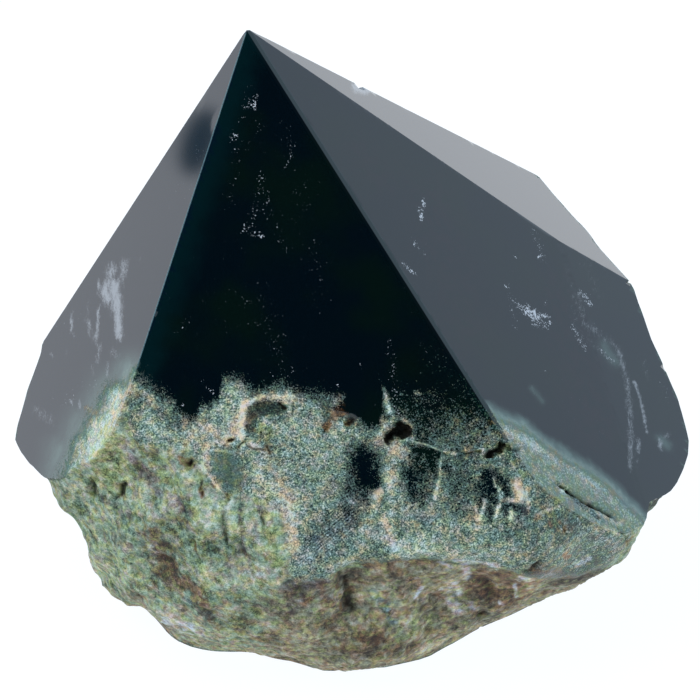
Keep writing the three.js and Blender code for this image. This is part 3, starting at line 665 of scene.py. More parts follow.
VEIL = [
    (125, 262, 122, 278, 5, 0.65), (112, 268, 108, 288, 7, 0.70), (104, 290, 108, 300, 6, 1.0),
    (114, 285, 117, 310, 7, 1.0), (117, 310, 119, 336, 5, 1.0), (98, 308, 97, 338, 1.8, 0.9),
    (99, 280, 98, 292, 1.8, 0.8), (72, 312, 71, 330, 1.6, 0.85), (71, 330, 75, 338, 2, 0.5),
    (86, 320, 90, 326, 3, 0.7), (90, 332, 96, 342, 3.5, 0.6), (100, 345, 97, 362, 3.5, 0.5),
    (88, 300, 88, 312, 2, 0.4), (108, 362, 107, 376, 2, 0.5), (92, 366, 93, 374, 2, 0.4),
    (71, 400, 72, 405, 1.8, 0.7), (79, 402, 80, 408, 1.8, 0.8), (51, 352, 52, 356, 2, 0.5),
    (66, 350, 67, 355, 1.6, 0.4), (139, 259, 139, 260, 1.5, 1.0), (36, 410, 50, 420, 7, 0.4),
    (112, 350, 116, 356, 5, 0.4), (110, 400, 108, 408, 3, 0.6), (196, 120, 210, 122, 2, 0.3),
    (578, 296, 584, 322, 4, 0.42), (584, 322, 618, 348, 5, 0.42), (618, 348, 627, 380, 4.0, 0.55),
    (627, 380, 631, 430, 4.0, 0.55), (631, 430, 630, 468, 4.0, 0.55), (635, 384, 642, 405, 1.7, 0.75),
    (642, 405, 647, 432, 1.7, 0.95), (639, 440, 638, 452, 2.4, 0.8), (644, 362, 648, 378, 2.4, 0.4),
    (634, 382, 637, 385, 1.8, 0.9), (660, 440, 661, 450, 2.2, 0.9), (664, 436, 668, 434, 3, 0.6),
    (568, 270, 576, 330, 4, 0.25), (576, 330, 600, 350, 5, 0.25), (585, 262, 600, 300, 8, 0.22),
    (532, 386, 536, 400, 1.6, 0.35), (638, 455, 637, 470, 1.4, 0.4),
]
GLITTER = [
    (243, 107, 252, 98, 5, 0.60), (240, 122, 232, 150, 4, 0.56), (262, 170, 250, 236, 7, 0.48),
    (290, 150, 288, 166, 4, 0.62), (246, 226, 262, 236, 6, 0.48), (423, 200, 425, 206, 2.4, 1.1),
    (420, 209, 422, 219, 2.8, 1.1), (518, 304, 546, 326, 8, 0.60), (580, 292, 590, 304, 5, 0.72),
    (572, 326, 586, 350, 4, 0.66), (598, 348, 614, 362, 4, 0.60), (508, 284, 516, 330, 6, 0.45),
    (533, 232, 545, 262, 6, 0.50), (412, 240, 426, 256, 5, 0.50), (402, 262, 416, 276, 3, 0.8),
    (200, 150, 186, 200, 6, 0.35), (60, 330, 110, 300, 30, 0.30), (60, 400, 110, 380, 20, 0.36),
    (180, 180, 150, 300, 14, 0.28), (560, 380, 600, 440, 30, 0.26), (660, 380, 668, 400, 6, 0.4),
    (248, 43, 254, 48, 3.5, 0.55), (249, 45, 251, 46, 1.4, 1.0), (262, 86, 254, 98, 4, 0.46),
    (243, 107, 247, 103, 2.0, 0.95), (251, 109, 256, 102, 2.4, 0.80), (238, 123, 241, 125, 2.2, 1.1),
    (242, 118, 232, 152, 5, 0.50), (234, 138, 235, 140, 1.2, 1.0), (227, 155, 229, 156, 1.3, 0.9),
    (290, 153, 292, 155, 1.5, 0.9), (289, 161, 291, 162, 1.3, 0.8), (264, 175, 266, 177, 1.4, 0.9),
    (262, 189, 265, 191, 1.8, 1.0), (258, 184, 268, 200, 6, 0.50), (248, 206, 250, 207, 1.3, 1.0),
    (244, 200, 262, 214, 7, 0.40), (238, 224, 242, 230, 3, 0.6), (246, 222, 262, 236, 7, 0.40),
    (257, 234, 262, 236, 2, 1.0), (300, 195, 316, 195, 8, 0.3), (190, 318, 178, 334, 7, 0.5),
    (256, 70, 240, 112, 8, 0.34), (262, 120, 244, 150, 9, 0.42), (238, 160, 226, 210, 9, 0.40),
    (280, 120, 296, 150, 8, 0.42), (270, 210, 286, 250, 10, 0.42), (196, 146, 204, 152, 4, 0.50),
    (211, 120, 214, 128, 2, 0.50), (234, 138, 235, 140, 1.6, 1.0), (177, 327, 179, 328, 1.3, 1.0),
    (205, 295, 204, 308, 1.6, 0.6), (250, 285, 290, 370, 26, 0.36), (290, 150, 320, 300, 30, 0.32),
    (235, 240, 230, 330, 26, 0.30), (300, 60, 340, 110, 16, 0.2), (423, 202, 425, 206, 1.4, 1.0),
    (421, 209, 423, 218, 1.6, 1.0), (413, 243, 414, 245, 1.5, 0.8), (413, 268, 414, 272, 1.6, 0.9),
    (406, 274, 408, 275, 1.4, 0.8), (519, 308, 528, 306, 4, 0.75), (526, 312, 534, 312, 4.5, 1.0),
    (534, 318, 544, 316, 4.5, 1.0), (532, 324, 538, 327, 3, 0.7), (546, 300, 546, 306, 2.6, 0.6),
    (549, 316, 551, 326, 2, 0.8), (512, 302, 516, 304, 3, 0.5), (537, 258, 542, 254, 1.6, 1.0),
    (538, 234, 540, 237, 1.6, 0.8), (548, 244, 562, 250, 8, 0.35), (515, 257, 517, 258, 1.5, 1.0),
    (505, 285, 507, 286, 1.5, 1.0), (582, 300, 588, 294, 3.5, 0.65), (574, 330, 583, 344, 4, 0.55),
    (588, 330, 592, 330, 2, 0.6), (606, 356, 612, 362, 3, 0.6), (182, 404, 184, 406, 1.8, 1.0),
    (390, 342, 396, 415, 8, 0.46), (424, 350, 430, 358, 5, 0.4), (360, 365, 366, 372, 2.4, 0.6),
    (337, 384, 338, 386, 1.6, 1.0), (271, 374, 273, 375, 1.3, 1.0), (208, 388, 213, 392, 5, 0.6),
    (197, 372, 204, 382, 4, 0.5), (420, 415, 432, 425, 4, 0.3), (508, 345, 509, 347, 1.3, 0.7),
    (424, 240, 430, 250, 4, 0.35), (544, 370, 546, 372, 1.3, 0.5),
]
moss = smear(MOSS, 3) + hidden * 0.5 * ease(0.3 + 0.9 * ripple(17, 5))
rust_behind = ease(1.1 - height / 22 + 0.8 * ripple(12, 7)) * ease(0.6 + ripple(7, 8))
rust = smear(RUST, 2) + 0.75 * hidden * rust_behind
plum = smear(PLUM, 3) + hidden * 0.6 * ease(0.2 + 1.2 * ripple(11, 9))
haze = smear(HAZE, 1.5) * (face_of == left_face) + smear(HAZE_ON_RIGHT, 1.5) * on_right
haze += ease((right_depth + 13) / 15) * low_on_right * in_view
haze += 0.6 * cut_back * ease(1 - into_face / (8 + 4 * ripple(12, 34)))

# the brown band along the foot, fainter at its left end
EARTH_TOP = [
    (60, 640), (120, 596), (200, 604), (250, 598), (290, 584), (340, 574), (400, 560), (500, 570), (560, 574),
    (640, 560),
]
EARTH_EDGE = 16
EARTH_FULL_FROM = 250
earth_in_view = ease(0.5 + below(EARTH_TOP, 3) / EARTH_EDGE)
earth_in_view = earth_in_view * (0.45 + 0.55 * ease((seen_x - EARTH_FULL_FROM) / 60))
earth = rind * (in_view * earth_in_view + hidden * ease(1.2 - height / 30 + 0.6 * ripple(15, 13)))

# where the stone shows no grain, where it keeps its saw lines, and how much each ground face shines
SMOOTH = [
    (220, 460, 230, 482, 11, 0.75), (228, 456, 238, 478, 9, 0.75), (517, 487, 522, 496, 5, 0.7),
    (375, 495, 380, 490, 4, 0.8), (338, 411, 350, 408, 6, 0.8), (252, 424, 256, 408, 4, 0.4),
    (262, 405, 280, 405, 4, 0.3), (410, 439, 441, 451, 1.6, 0.7), (441, 451, 436, 498, 1.6, 0.7),
]
SAWN = [(312, 552, 346, 512, 15, 1.0), (300, 560, 318, 540, 8, 0.6), (560, 520, 590, 530, 10, 0.3)]
SIDE_SHINE = 0.5
LEFT_SHINE = 0.6
shine = np.where(face_of == side_face, SIDE_SHINE, np.where(face_of == left_face, LEFT_SHINE, 1.0))

# Relief: the rind is lumpy, pitted and in places folded; the cut stone is flat, only its pores show
RIM_CALM = 2.5
LEAST_RELIEF = 0.25
LUMP_TOP = 0.55
WINDOW_DEPTH = 0.25
WINDOW = [(222, 462, 232, 486, 10, 1.0)]
FOLDS = [
    (200, 500, 205, 560, 10, 0.8), (225, 505, 245, 565, 18, 1.0), (268, 505, 270, 565, 12, 0.8),
    (105, 450, 115, 480, 10, 0.4),
]
relief = np.where(ground, 0.0, ease(into_rind / RIM_CALM)) * np.maximum(rind, LEAST_RELIEF)
# the outline bulges at these spots
SWELL = [
    (56, 494, 63, 506, 9, 1.0), (84, 542, 100, 584, 9, 0.60), (104, 586, 126, 603, 10, 1.0),
    (572, 584, 626, 558, 12, 0.7), (296, 664, 321, 668, 6, 0.30),
]
PAST_OUTLINE = -0.7
PAST_OUTLINE_FADE = 0.4
SWELL_RIM = 0.8
round_outline = np.clip((facing_camera - PAST_OUTLINE) / PAST_OUTLINE_FADE, 0, 1)
swollen = smear(SWELL, 0, round_outline) * ease(into_rind / SWELL_RIM)
lumpy = 0.42 * ripple(5.5, 21) + 0.36 * ripple(2.8, 22) + 0.28 * ripple(1.4, 23) + 0.16 * ripple(0.7, 24)
lumpy -= 0.6 * smear(FOLDS, 2) * np.abs(ripple(1.2, 25, (1, 3, 3)))
depth = relief * (LUMP_TOP - lumpy) * ~ground_island - swollen + holes + WINDOW_DEPTH * smear(WINDOW, 2)
moved = points - normals * (depth * MM)[:, None]
moved = np.clip(moved, np.array(cad_box[0]), np.array(cad_box[1]))
mesh.vertices.foreach_set("co", moved.ravel())
mesh.update()

# The masks go onto the mesh as attributes, which the finish reads.
masks = {
    # the raised lumps of the rind are painted paler and its sunken parts darker, as painted light and shade,
    # and the brown band at the foot is a little darker, painted shade too
    "light": light + 0.34 * relief * np.clip(lumpy, -0.6, 0.6) - 0.02 * earth,
    "rind": rind,
    "moss": moss,
    "rust": rust,
    "ice": smear(ICE, 1),
    "cream": smear(CREAM, 2),
    "haze": haze,
    "blue": smear(BLUE, 2),
    "plum": plum,
    "earth": earth,
    # the chip behind the tip is painted milky grey, a painted reflection like the glancing shine of the upper
    # face
    "veil_and_chip_reflection": smear(VEIL, 0.7) + 1.2 * smear(CHIP, 0, 1) + 0.7 * cut_back * ease(2.2 * ripple(9, 35) - 0.35),
    "glitter": smear(GLITTER, 0.5) + 0.42 * cut_back * ease(0.3 + 1.5 * ripple(7, 36)),
    "hole": np.clip(holes, 0, 1),
    "calm": np.maximum(smear(SMOOTH, 1.0), 0.5 * on_right * in_view + 0.45 * (face_of == left_face)),
    "sawn": smear(SAWN, 2),
    "bluish": np.where(face_of == left_face, 1.0, 0.6 * (face_of == upper_face)),
    # in the holes the shine is taken away, as painted shade
    "shine": shine * (1 - ease(1.6 * holes - 0.15)),
}
for name, values in masks.items():
    attribute = mesh.attributes.new(name, "FLOAT", "POINT")
    attribute.data.foreach_set("value", values.astype(np.float32))

# The finish. All its sizes are in millimetres.
stone_finish = bpy.data.materials.new("bloodstone_finish")
stone_finish.use_nodes = True
nodes = stone_finish.node_tree.nodes
links = stone_finish.node_tree.links
nodes.clear()


def put(socket, value):
    if isinstance(value, bpy.types.NodeSocket):
        links.new(value, socket)
    else:
        socket.default_value = value


def sums(operation, a, b=0.0, c=0.0):
    step = nodes.new("ShaderNodeMath")
    step.operation = operation
    put(step.inputs[0], a)
    put(step.inputs[1], b)
    put(step.inputs[2], c)
    return step.outputs[0]


def weigh(start, *noises):
    """The start value plus each noise, less a half, times its weight."""
    total = start
    for value, weight in noises:
        total = sums("MULTIPLY_ADD", sums("SUBTRACT", value, 0.5), weight, total)
    return total


def between(value, low, high, to_low=0.0, to_high=1.0):
    step = nodes.new("ShaderNodeMapRange")
    step.interpolation_type = "SMOOTHSTEP"
    for socket, number in zip(step.inputs, (value, low, high, to_low, to_high)):
        put(socket, number)
    return step.outputs[0]


def blend(factor, under, over):
    step = nodes.new("ShaderNodeMix")
    step.data_type = "RGBA"
    put(step.inputs[0], factor)
    put(step.inputs[6], under if isinstance(under, bpy.types.NodeSocket) else (*under, 1))
    put(step.inputs[7], over if isinstance(over, bpy.types.NodeSocket) else (*over, 1))
    return step.outputs[2]


def shades(value, *colours):
    """Even steps of colour, from the first at 0 to the last at 1."""
    step = nodes.new("ShaderNodeValToRGB")
    put(step.inputs[0], value)
    stops = step.color_ramp.elements
    while len(stops) < len(colours):
        stops.new(0.5)
    for i, colour in enumerate(colours):
        stops[i].position = i / (len(colours) - 1)
        stops[i].color = (*colour, 1)
    return step.outputs[0]


def toned(under, noise_value, tone_low, tone_high):
    """The colour multiplied by a tone that drifts with the noise from one to the other."""
    step = nodes.new("ShaderNodeMix")
    step.data_type = "RGBA"
    step.blend_type = "MULTIPLY"
    put(step.inputs[0], 1.0)
    put(step.inputs[6], under)
    put(step.inputs[7], blend(between(noise_value, 0.34, 0.66), tone_low, tone_high))
    return step.outputs[2]


def mask(name):
    step = nodes.new("ShaderNodeAttribute")
    step.attribute_name = name
    return step.outputs["Fac"]


def clouds(scale, detail=3.0, stretch=(1, 1, 1), roughness=0.55, turn=0.0):
    """Noise with about this many waves to a millimetre, drawn out along the axes of the show side."""
    turned = nodes.new("ShaderNodeMapping")
    put(turned.inputs["Vector"], millimetres)
    put(turned.inputs["Rotation"], (LEAN - math.pi / 2, 0, turn))
    put(turned.inputs["Scale"], (1 / stretch[0], 1 / stretch[1], 1 / stretch[2]))
    step = nodes.new("ShaderNodeTexNoise")
    put(step.inputs["Vector"], turned.outputs[0])
    put(step.inputs["Scale"], scale)
    put(step.inputs["Detail"], detail)
    put(step.inputs["Roughness"], roughness)
    return step.outputs[0]


def along_axis(axis, start=0.0):
    """How far each point lies along this axis past the start, in millimetres."""
    step = nodes.new("ShaderNodeVectorMath")
    step.operation = "DOT_PRODUCT"
    put(step.inputs[0], millimetres)
    put(step.inputs[1], axis)
    return sums("SUBTRACT", step.outputs["Value"], start)


def crystals(scale):
    """An even random value from 0 to 1 in each of the small cells, about this many to a millimetre."""
    step = nodes.new("ShaderNodeTexVoronoi")
    put(step.inputs["Vector"], millimetres)
    put(step.inputs["Scale"], scale)
    split = nodes.new("ShaderNodeSeparateColor")
    links.new(step.outputs["Color"], split.inputs[0])
    return split.outputs[0]


place = nodes.new("ShaderNodeTexCoord")
to_mm = nodes.new("ShaderNodeVectorMath")
to_mm.operation = "SCALE"
links.new(place.outputs["Object"], to_mm.inputs[0])
put(to_mm.inputs["Scale"], 1000)
millimetres = to_mm.outputs[0]

broad = clouds(0.07, 3)
patchy = clouds(0.30, 4)
tinted = clouds(0.55, 3)
mottled = clouds(1.0, 5, (1, 1, 1), 0.6)
fine = clouds(4.2, 3, (1, 1.3, 1), 0.7)
folded = clouds(1.5, 4, (1, 3, 1), 0.6)
seeds = crystals(4.8)
streaks = clouds(1.3, 3, (1, 4.5, 1), 0.6)
drift = clouds(0.72, 2, (1, 1.4, 1), 0.5)
drift_too = clouds(0.95, 2, (1.2, 1, 1), 0.5)
vein_paths = sums("ABSOLUTE", sums("SUBTRACT", clouds(0.42, 4, (1, 1.3, 1), 0.6), 0.5))
crevices = sums("MULTIPLY", between(vein_paths, 0.0, 0.024, 1.0, 0.0), between(tinted, 0.46, 0.60))

# fine lines left by the saw, a little slanted on the show side
SAW_LINE_APART = 0.42
SAW_LINE_RISE = math.radians(40)
across_lines = UP_SHOW_SIDE * math.cos(SAW_LINE_RISE) - ACROSS * math.sin(SAW_LINE_RISE)
along_lines = along_axis(across_lines * 2 * math.pi / SAW_LINE_APART)
saw_wave = sums("SINE", sums("MULTIPLY_ADD", mottled, 5.0, along_lines))

# the paleness of every spot: what the strokes say, and a grain that is finer in the ground faces than on the
# rind
light_here = mask("light")
rind_here = mask("rind")
grain_noise = weigh(0.0, (seeds, 0.36), (fine, 2.2), (mottled, 0.6), (patchy, 0.5), (streaks, 0.55))
crust_fine = sums("MULTIPLY_ADD", mask("earth"), -0.6, 1.25)
crust_noise = weigh(0.0, (mottled, 1.3), (folded, 0.7), (fine, crust_fine), (seeds, 0.12), (patchy, 0.8))
crust_noise = sums("MULTIPLY_ADD", crevices, -0.30, crust_noise)
noise_here = sums("MULTIPLY_ADD", rind_here, sums("SUBTRACT", crust_noise, grain_noise), grain_noise)
liveliness = between(mask("calm"), 0, 1, 1.0, 0.25)
value = sums("MULTIPLY_ADD", noise_here, liveliness, light_here)
value = sums("MULTIPLY_ADD", sums("MULTIPLY", mask("sawn"), saw_wave), 0.12, value)
stone_value = sums("MAXIMUM", value, sums("MULTIPLY", mask("haze"), 0.56))

POLISHED_TEAL = (0.0006, 0.0036, 0.0062)
POLISHED_GREEN = (0.0012, 0.0058, 0.0046)
POLISHED_MOSS = (0.0016, 0.0050, 0.0020)
POLISHED_PLUM = (0.0110, 0.0045, 0.0085)
POLISHED_EDGE = (0.0008, 0.0100, 0.0120)
POLISHED_BLUE = (0.0010, 0.0055, 0.0150)
polished = blend(between(broad, 0.4, 0.65), POLISHED_TEAL, POLISHED_GREEN)
polished = blend(mask("moss"), polished, POLISHED_MOSS)
polished = blend(sums("MULTIPLY", mask("plum"), between(tinted, 0.4, 0.6)), polished, POLISHED_PLUM)
from_left_face = sums("ABSOLUTE", along_axis(facings[left_face], reaches[left_face] / MM))
from_show_face = sums("ABSOLUTE", along_axis(facings[show_face], reaches[show_face] / MM))
beside_left_face = between(sums("MULTIPLY_ADD", patchy, -4.0, from_left_face), -1.5, 3.0, 1.0, 0.0)
polished = blend(beside_left_face, polished, POLISHED_EDGE)
polished = blend(mask("bluish"), polished, POLISHED_BLUE)

# Six colours for each kind of stone, from its darkest grain to its palest. Stone lies in the ground faces,
# and crust on the rind.
GREEN_STONE = (
    (0.0006, 0.0065, 0.0050), (0.005, 0.026, 0.019), (0.038, 0.088, 0.066),
    (0.158, 0.226, 0.174), (0.355, 0.412, 0.325), (0.70, 0.71, 0.59),
)
green_stone = shades(stone_value, *GREEN_STONE)
GREEN_CRUST = (
    (0.009, 0.018, 0.010), (0.052, 0.084, 0.052), (0.145, 0.200, 0.128),
    (0.275, 0.335, 0.222), (0.43, 0.475, 0.335), (0.67, 0.66, 0.51),
)
green_crust = shades(stone_value, *GREEN_CRUST)
CREAM_STONE = (
    (0.012, 0.014, 0.010), (0.06, 0.055, 0.042), (0.17, 0.15, 0.115),
    (0.33, 0.29, 0.225), (0.53, 0.46, 0.36), (0.76, 0.66, 0.52),
)
cream_stone = shades(stone_value, *CREAM_STONE)
BLUE_STONE = (
    (0.0010, 0.0065, 0.010), (0.010, 0.025, 0.030), (0.055, 0.085, 0.090),
    (0.15, 0.20, 0.20), (0.31, 0.37, 0.37), (0.60, 0.64, 0.64),
)
blue_stone = shades(stone_value, *BLUE_STONE)
MOSS_CRUST = (
    (0.008, 0.016, 0.005), (0.048, 0.070, 0.028), (0.140, 0.182, 0.080),
    (0.27, 0.315, 0.155), (0.43, 0.475, 0.27), (0.64, 0.66, 0.44),
)
moss_crust = shades(stone_value, *MOSS_CRUST)
PLUM_CRUST = (
    (0.016, 0.012, 0.011), (0.055, 0.045, 0.042), (0.125, 0.108, 0.100),
    (0.225, 0.20, 0.185), (0.37, 0.34, 0.32), (0.60, 0.56, 0.53),
)
plum_crust = shades(stone_value, *PLUM_CRUST)
EARTH_CRUST = (
    (0.016, 0.012, 0.006), (0.066, 0.056, 0.032), (0.152, 0.136, 0.084),
    (0.265, 0.238, 0.155), (0.41, 0.375, 0.26), (0.61, 0.56, 0.44),
)
earth_crust = shades(stone_value, *EARTH_CRUST)
RUST_CRUST = (
    (0.014, 0.006, 0.003), (0.052, 0.024, 0.010), (0.128, 0.073, 0.033),
    (0.225, 0.142, 0.072), (0.36, 0.24, 0.145), (0.56, 0.44, 0.32),
)
rust_crust = shades(stone_value, *RUST_CRUST)
ICE_CRUST = (
    (0.07, 0.065, 0.066), (0.14, 0.13, 0.135), (0.25, 0.235, 0.245),
    (0.38, 0.36, 0.37), (0.54, 0.52, 0.53), (0.72, 0.70, 0.70),
)
ice_crust = shades(stone_value, *ICE_CRUST)

PATCH_NOISE = 0.9
colour = blend(rind_here, green_stone, green_crust)
colour = blend(between(weigh(mask("earth"), (tinted, 0.9), (mottled, 0.5)), 0.25, 0.75), colour, earth_crust)
for name, over, ragged, wide in [
    ("blue", blue_stone, drift_too, 0.9), ("plum", plum_crust, drift_too, 1.2),
    ("cream", cream_stone, drift_too, 1.2), ("moss", moss_crust, drift_too, 1.2),
    ("rust", rust_crust, drift_too, 1.4), ("ice", ice_crust, mottled, 0.7),
]:
    here = between(weigh(mask(name), (ragged, PATCH_NOISE * wide), (tinted, PATCH_NOISE * wide)), 0.15, 0.85)
    colour = blend(here, colour, over)
stray = between(patchy, 0.56, 0.70, 0.0, 0.55)
colour = blend(sums("MULTIPLY", stray, rind_here), colour, plum_crust)

# small patches of warmer, mossier and bluer stone everywhere
WARMER = (1.12, 0.97, 0.93)
COOLER = (0.90, 1.04, 1.00)
BLUER = (0.93, 0.99, 1.16)
YELLOWER = (1.05, 1.02, 0.80)
warm_stone = blend(mask("earth"), blend(rind_here, cream_stone, plum_crust), rust_crust)
warm_here = sums("MULTIPLY", between(drift, 0.52, 0.68, 0.0, 0.55), between(rind_here, 0, 1, 0.5, 1.0))
colour = blend(warm_here, colour, warm_stone)
colour = blend(sums("MULTIPLY", between(drift_too, 0.50, 0.68, 0.0, 0.6), rind_here), colour, moss_crust)
colour = toned(colour, drift, COOLER, WARMER)
colour = toned(colour, drift_too, BLUER, YELLOWER)

# under the polish the stone is clear, or hazed where grains lie just below it
HAZE_GREEN = (0.150, 0.235, 0.205)
HAZE_PALE = (0.225, 0.305, 0.265)
haze_colour = blend(between(weigh(mask("haze"), (mottled, 1.2)), 0.6, 1.1), HAZE_GREEN, HAZE_PALE)
hazed = blend(sums("MULTIPLY", mask("haze"), between(patchy, 0.25, 0.65, 0.6, 1.0)), polished, haze_colour)
clear = sums("SUBTRACT", 1.0, between(value, -0.05, 0.22))
clear = sums("MULTIPLY", clear, sums("SUBTRACT", 1.0, rind_here))
colour = blend(clear, colour, hazed)

# white flecks and milky veils in the polished stone, and the chip behind the tip painted milky grey as a
# painted reflection
MILK = (0.55, 0.57, 0.60)
glint = between(weigh(mask("glitter"), (seeds, 0.7), (fine, 1.2), (mottled, 0.5)), 0.77, 0.97)
colour = blend(glint, colour, MILK)
dashes = clouds(2.2, 4, (1, 4, 1.5), 0.65)
veil_and_chip_reflection = between(weigh(mask("veil_and_chip_reflection"), (dashes, 1.1), (fine, 1.1)), 0.25, 1.05)
colour = blend(sums("MULTIPLY", veil_and_chip_reflection, 0.5), colour, MILK)

# painted shade in the hollows: each hole is coloured a near-black brown, the darker the deeper it is
HOLLOW_SHADE_BROWN = (0.010, 0.008, 0.007)
ragged_hole_shade = weigh(mask("hole"), (mottled, 0.9), (fine, 0.7))
colour = blend(between(ragged_hole_shade, 0.15, 1.0, 0.0, 0.96), colour, HOLLOW_SHADE_BROWN)

# a painted highlight: the worn ridge beside the left face is painted as a fine pale line. The bevel down the
# other front ridge has painted shade over its first half millimetre, where its shine is taken away, and past
# that a painted reflection of teal paler than the show face
RIDGE_HIGHLIGHT_TEAL = (0.115, 0.205, 0.225)
left_ridge_highlight = between(sums("MAXIMUM", from_left_face, from_show_face), 0.05, 0.17, 0.85, 0.0)
left_ridge_highlight = sums("MULTIPLY", left_ridge_highlight, between(fine, 0.30, 0.55, 0.4, 1.0))
colour = blend(sums("MULTIPLY", left_ridge_highlight, clear), colour, RIDGE_HIGHLIGHT_TEAL)
# a painted reflection: the bevel is painted a paler teal past its first half millimetre
BEVEL_REFLECTION_TEAL = (0.016, 0.029, 0.031)
BEVEL_STARTS = 0.50
bevel_run = facings[show_face].cross(facings[right_face]).normalized()
bevel_across = facings[bevel_face].cross(bevel_run)
if bevel_across.dot(facings[right_face]) < 0:
    bevel_across = -bevel_across
# how far across the bevel its two edges lie
bevel_edges = []
for side in (show_face, right_face):
    planes = Matrix((facings[side], facings[bevel_face], bevel_run))
    corner = planes.inverted() @ Vector((reaches[side], reaches[bevel_face], 0))
    bevel_edges.append(corner.dot(bevel_across) / MM)
from_bevel = sums("ABSOLUTE", along_axis(facings[bevel_face], reaches[bevel_face] / MM))
on_bevel = between(from_bevel, 0.11, 0.17, 1.0, 0.0)
across_bevel = along_axis(bevel_across, bevel_edges[0])
bevel_reflection_part = between(across_bevel, BEVEL_STARTS - 0.06, BEVEL_STARTS + 0.06)
colour = blend(sums("MULTIPLY", sums("MULTIPLY", on_bevel, bevel_reflection_part), clear), colour, BEVEL_REFLECTION_TEAL)
# painted shade: the bevel loses all its shine over its first half millimetre, and part of it at its far edge
bevel_width = bevel_edges[1] - bevel_edges[0]
bevel_shade = between(across_bevel, bevel_width - 0.02, bevel_width + 0.05, 0.0, 0.45)
bevel_shade = sums("ADD", sums("SUBTRACT", 1.0, bevel_reflection_part), bevel_shade)
shine_less_painted_shade = sums("MULTIPLY", mask("shine"), sums("SUBTRACT", 1.0, sums("MULTIPLY", on_bevel, bevel_shade)))

# polished stone is mirror-bright, and grains and rind are matt and a little rough to the touch
POLISHED_ROUGHNESS = 0.06
RIND_ROUGHNESS = 0.75
matt = sums("MAXIMUM", between(value, 0.15, 0.45), rind_here)
matt = sums("MAXIMUM", matt, between(mask("hole"), 0.1, 0.5))
roughness = between(matt, 0, 1, POLISHED_ROUGHNESS, RIND_ROUGHNESS)
BUMP_STRENGTH = 0.45
BUMP_HEIGHT = 0.22 * MM
QUARTZ_IOR = 1.54
bump = nodes.new("ShaderNodeBump")
put(bump.inputs["Height"], sums("MULTIPLY", value, matt))
put(bump.inputs["Strength"], BUMP_STRENGTH)
put(bump.inputs["Distance"], BUMP_HEIGHT)

shader = nodes.new("ShaderNodeBsdfPrincipled")
put(shader.inputs["Base Color"], colour)
put(shader.inputs["Roughness"], roughness)
put(shader.inputs["IOR"], QUARTZ_IOR)
# the shine, less where painted shade takes it away in the holes and on the bevel
put(shader.inputs["Specular Tint"], blend(shine_less_painted_shade, (0, 0, 0), (1, 1, 1)))
put(shader.inputs["Normal"], bump.outputs[0])
output = nodes.new("ShaderNodeOutputMaterial")
links.new(shader.outputs[0], output.inputs[0])
mesh.materials.append(stone_finish)

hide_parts("bloodstone_point")
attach(stone, "root")

# The stage: a pale floor, even white studio light with a little blue in it, and a black card behind the
# camera, which the show face mirrors
FLOOR_HALF = 6
FLOOR_GREY = (0.08, 0.08, 0.08, 1)
FLOOR_GLOW = (0.94, 0.98, 1.03, 1)
floor_mesh = bmesh.new()
bmesh.ops.create_grid(floor_mesh, x_segments=1, y_segments=1, size=FLOOR_HALF)
floor_data = bpy.data.meshes.new("floor")
floor_mesh.to_mesh(floor_data)
floor_mesh.free()
floor = bpy.data.objects.new("floor", floor_data)
bpy.context.scene.collection.objects.link(floor)
floor_paper = bpy.data.materials.new("floor_paper")
floor_paper.use_nodes = True
paper_shader = floor_paper.node_tree.nodes["Principled BSDF"]
paper_shader.inputs["Base Color"].default_value = FLOOR_GREY
paper_shader.inputs["Roughness"].default_value = 1
paper_shader.inputs["Emission Color"].default_value = FLOOR_GLOW
paper_shader.inputs["Emission Strength"].default_value = 1.0
floor_data.materials.append(floor_paper)

CARD_AWAY = 1.3
CARD_HALF = 0.42
CARD_BLACK = (0.004, 0.006, 0.007, 1)
card_mesh = bmesh.new()
bmesh.ops.create_circle(card_mesh, cap_ends=True, radius=CARD_HALF, segments=48)
card_data = bpy.data.meshes.new("black_card")
card_mesh.to_mesh(card_data)
card_mesh.free()
card = bpy.data.objects.new("black_card", card_data)
show_normal = facings[show_face]
look = (camera_place - aim).normalized()
mirror = (2 * show_normal * show_normal.dot(look) - look).normalized()
card_turn = mirror.to_track_quat("Z", "Y").to_matrix().to_4x4()
card.matrix_world = Matrix.Translation(aim + mirror * CARD_AWAY) @ card_turn
bpy.context.scene.collection.objects.link(card)
card_black = bpy.data.materials.new("card_black")
card_black.use_nodes = True
card_shader = card_black.node_tree.nodes["Principled BSDF"]
card_shader.inputs["Base Color"].default_value = CARD_BLACK
card_shader.inputs["Roughness"].default_value = 1
card_shader.inputs["Specular IOR Level"].default_value = 0
card_data.materials.append(card_black)
card.visible_camera = False

# a soft dark flag behind the stone, which the left face mirrors as a patch beside the tip
FLAG_SPOT = (200, 142)
FLAG_AWAY = 0.30
FLAG_HALF = (0.0054, 0.0106)
FLAG_TILT = math.radians(19)
FLAG_CORE = 0.50
FLAG_TEAL = (0.002, 0.075, 0.095, 1)
flag_mesh = bmesh.new()
bmesh.ops.create_circle(flag_mesh, cap_ends=True, radius=1, segments=48)
flag_data = bpy.data.meshes.new("dark_flag")
flag_mesh.to_mesh(flag_data)
flag_mesh.free()
flag = bpy.data.objects.new("dark_flag", flag_data)
spot_slope_x = (FLAG_SPOT[0] - PHOTO_SIZE / 2) / pixels_per_slope
spot_slope_y = (PHOTO_SIZE / 2 - FLAG_SPOT[1]) / pixels_per_slope
sight = (ACROSS * spot_slope_x + UP_SHOW_SIDE * spot_slope_y - OUT_OF_SHOW_SIDE).normalized()
left_normal = facings[left_face]
sight_length = (reaches[left_face] - left_normal.dot(camera_place)) / left_normal.dot(sight)
on_stone = camera_place + sight * sight_length
bounced = (sight - 2 * left_normal * left_normal.dot(sight)).normalized()
flag_up = UP_SHOW_SIDE * math.cos(FLAG_TILT) + ACROSS * math.sin(FLAG_TILT)
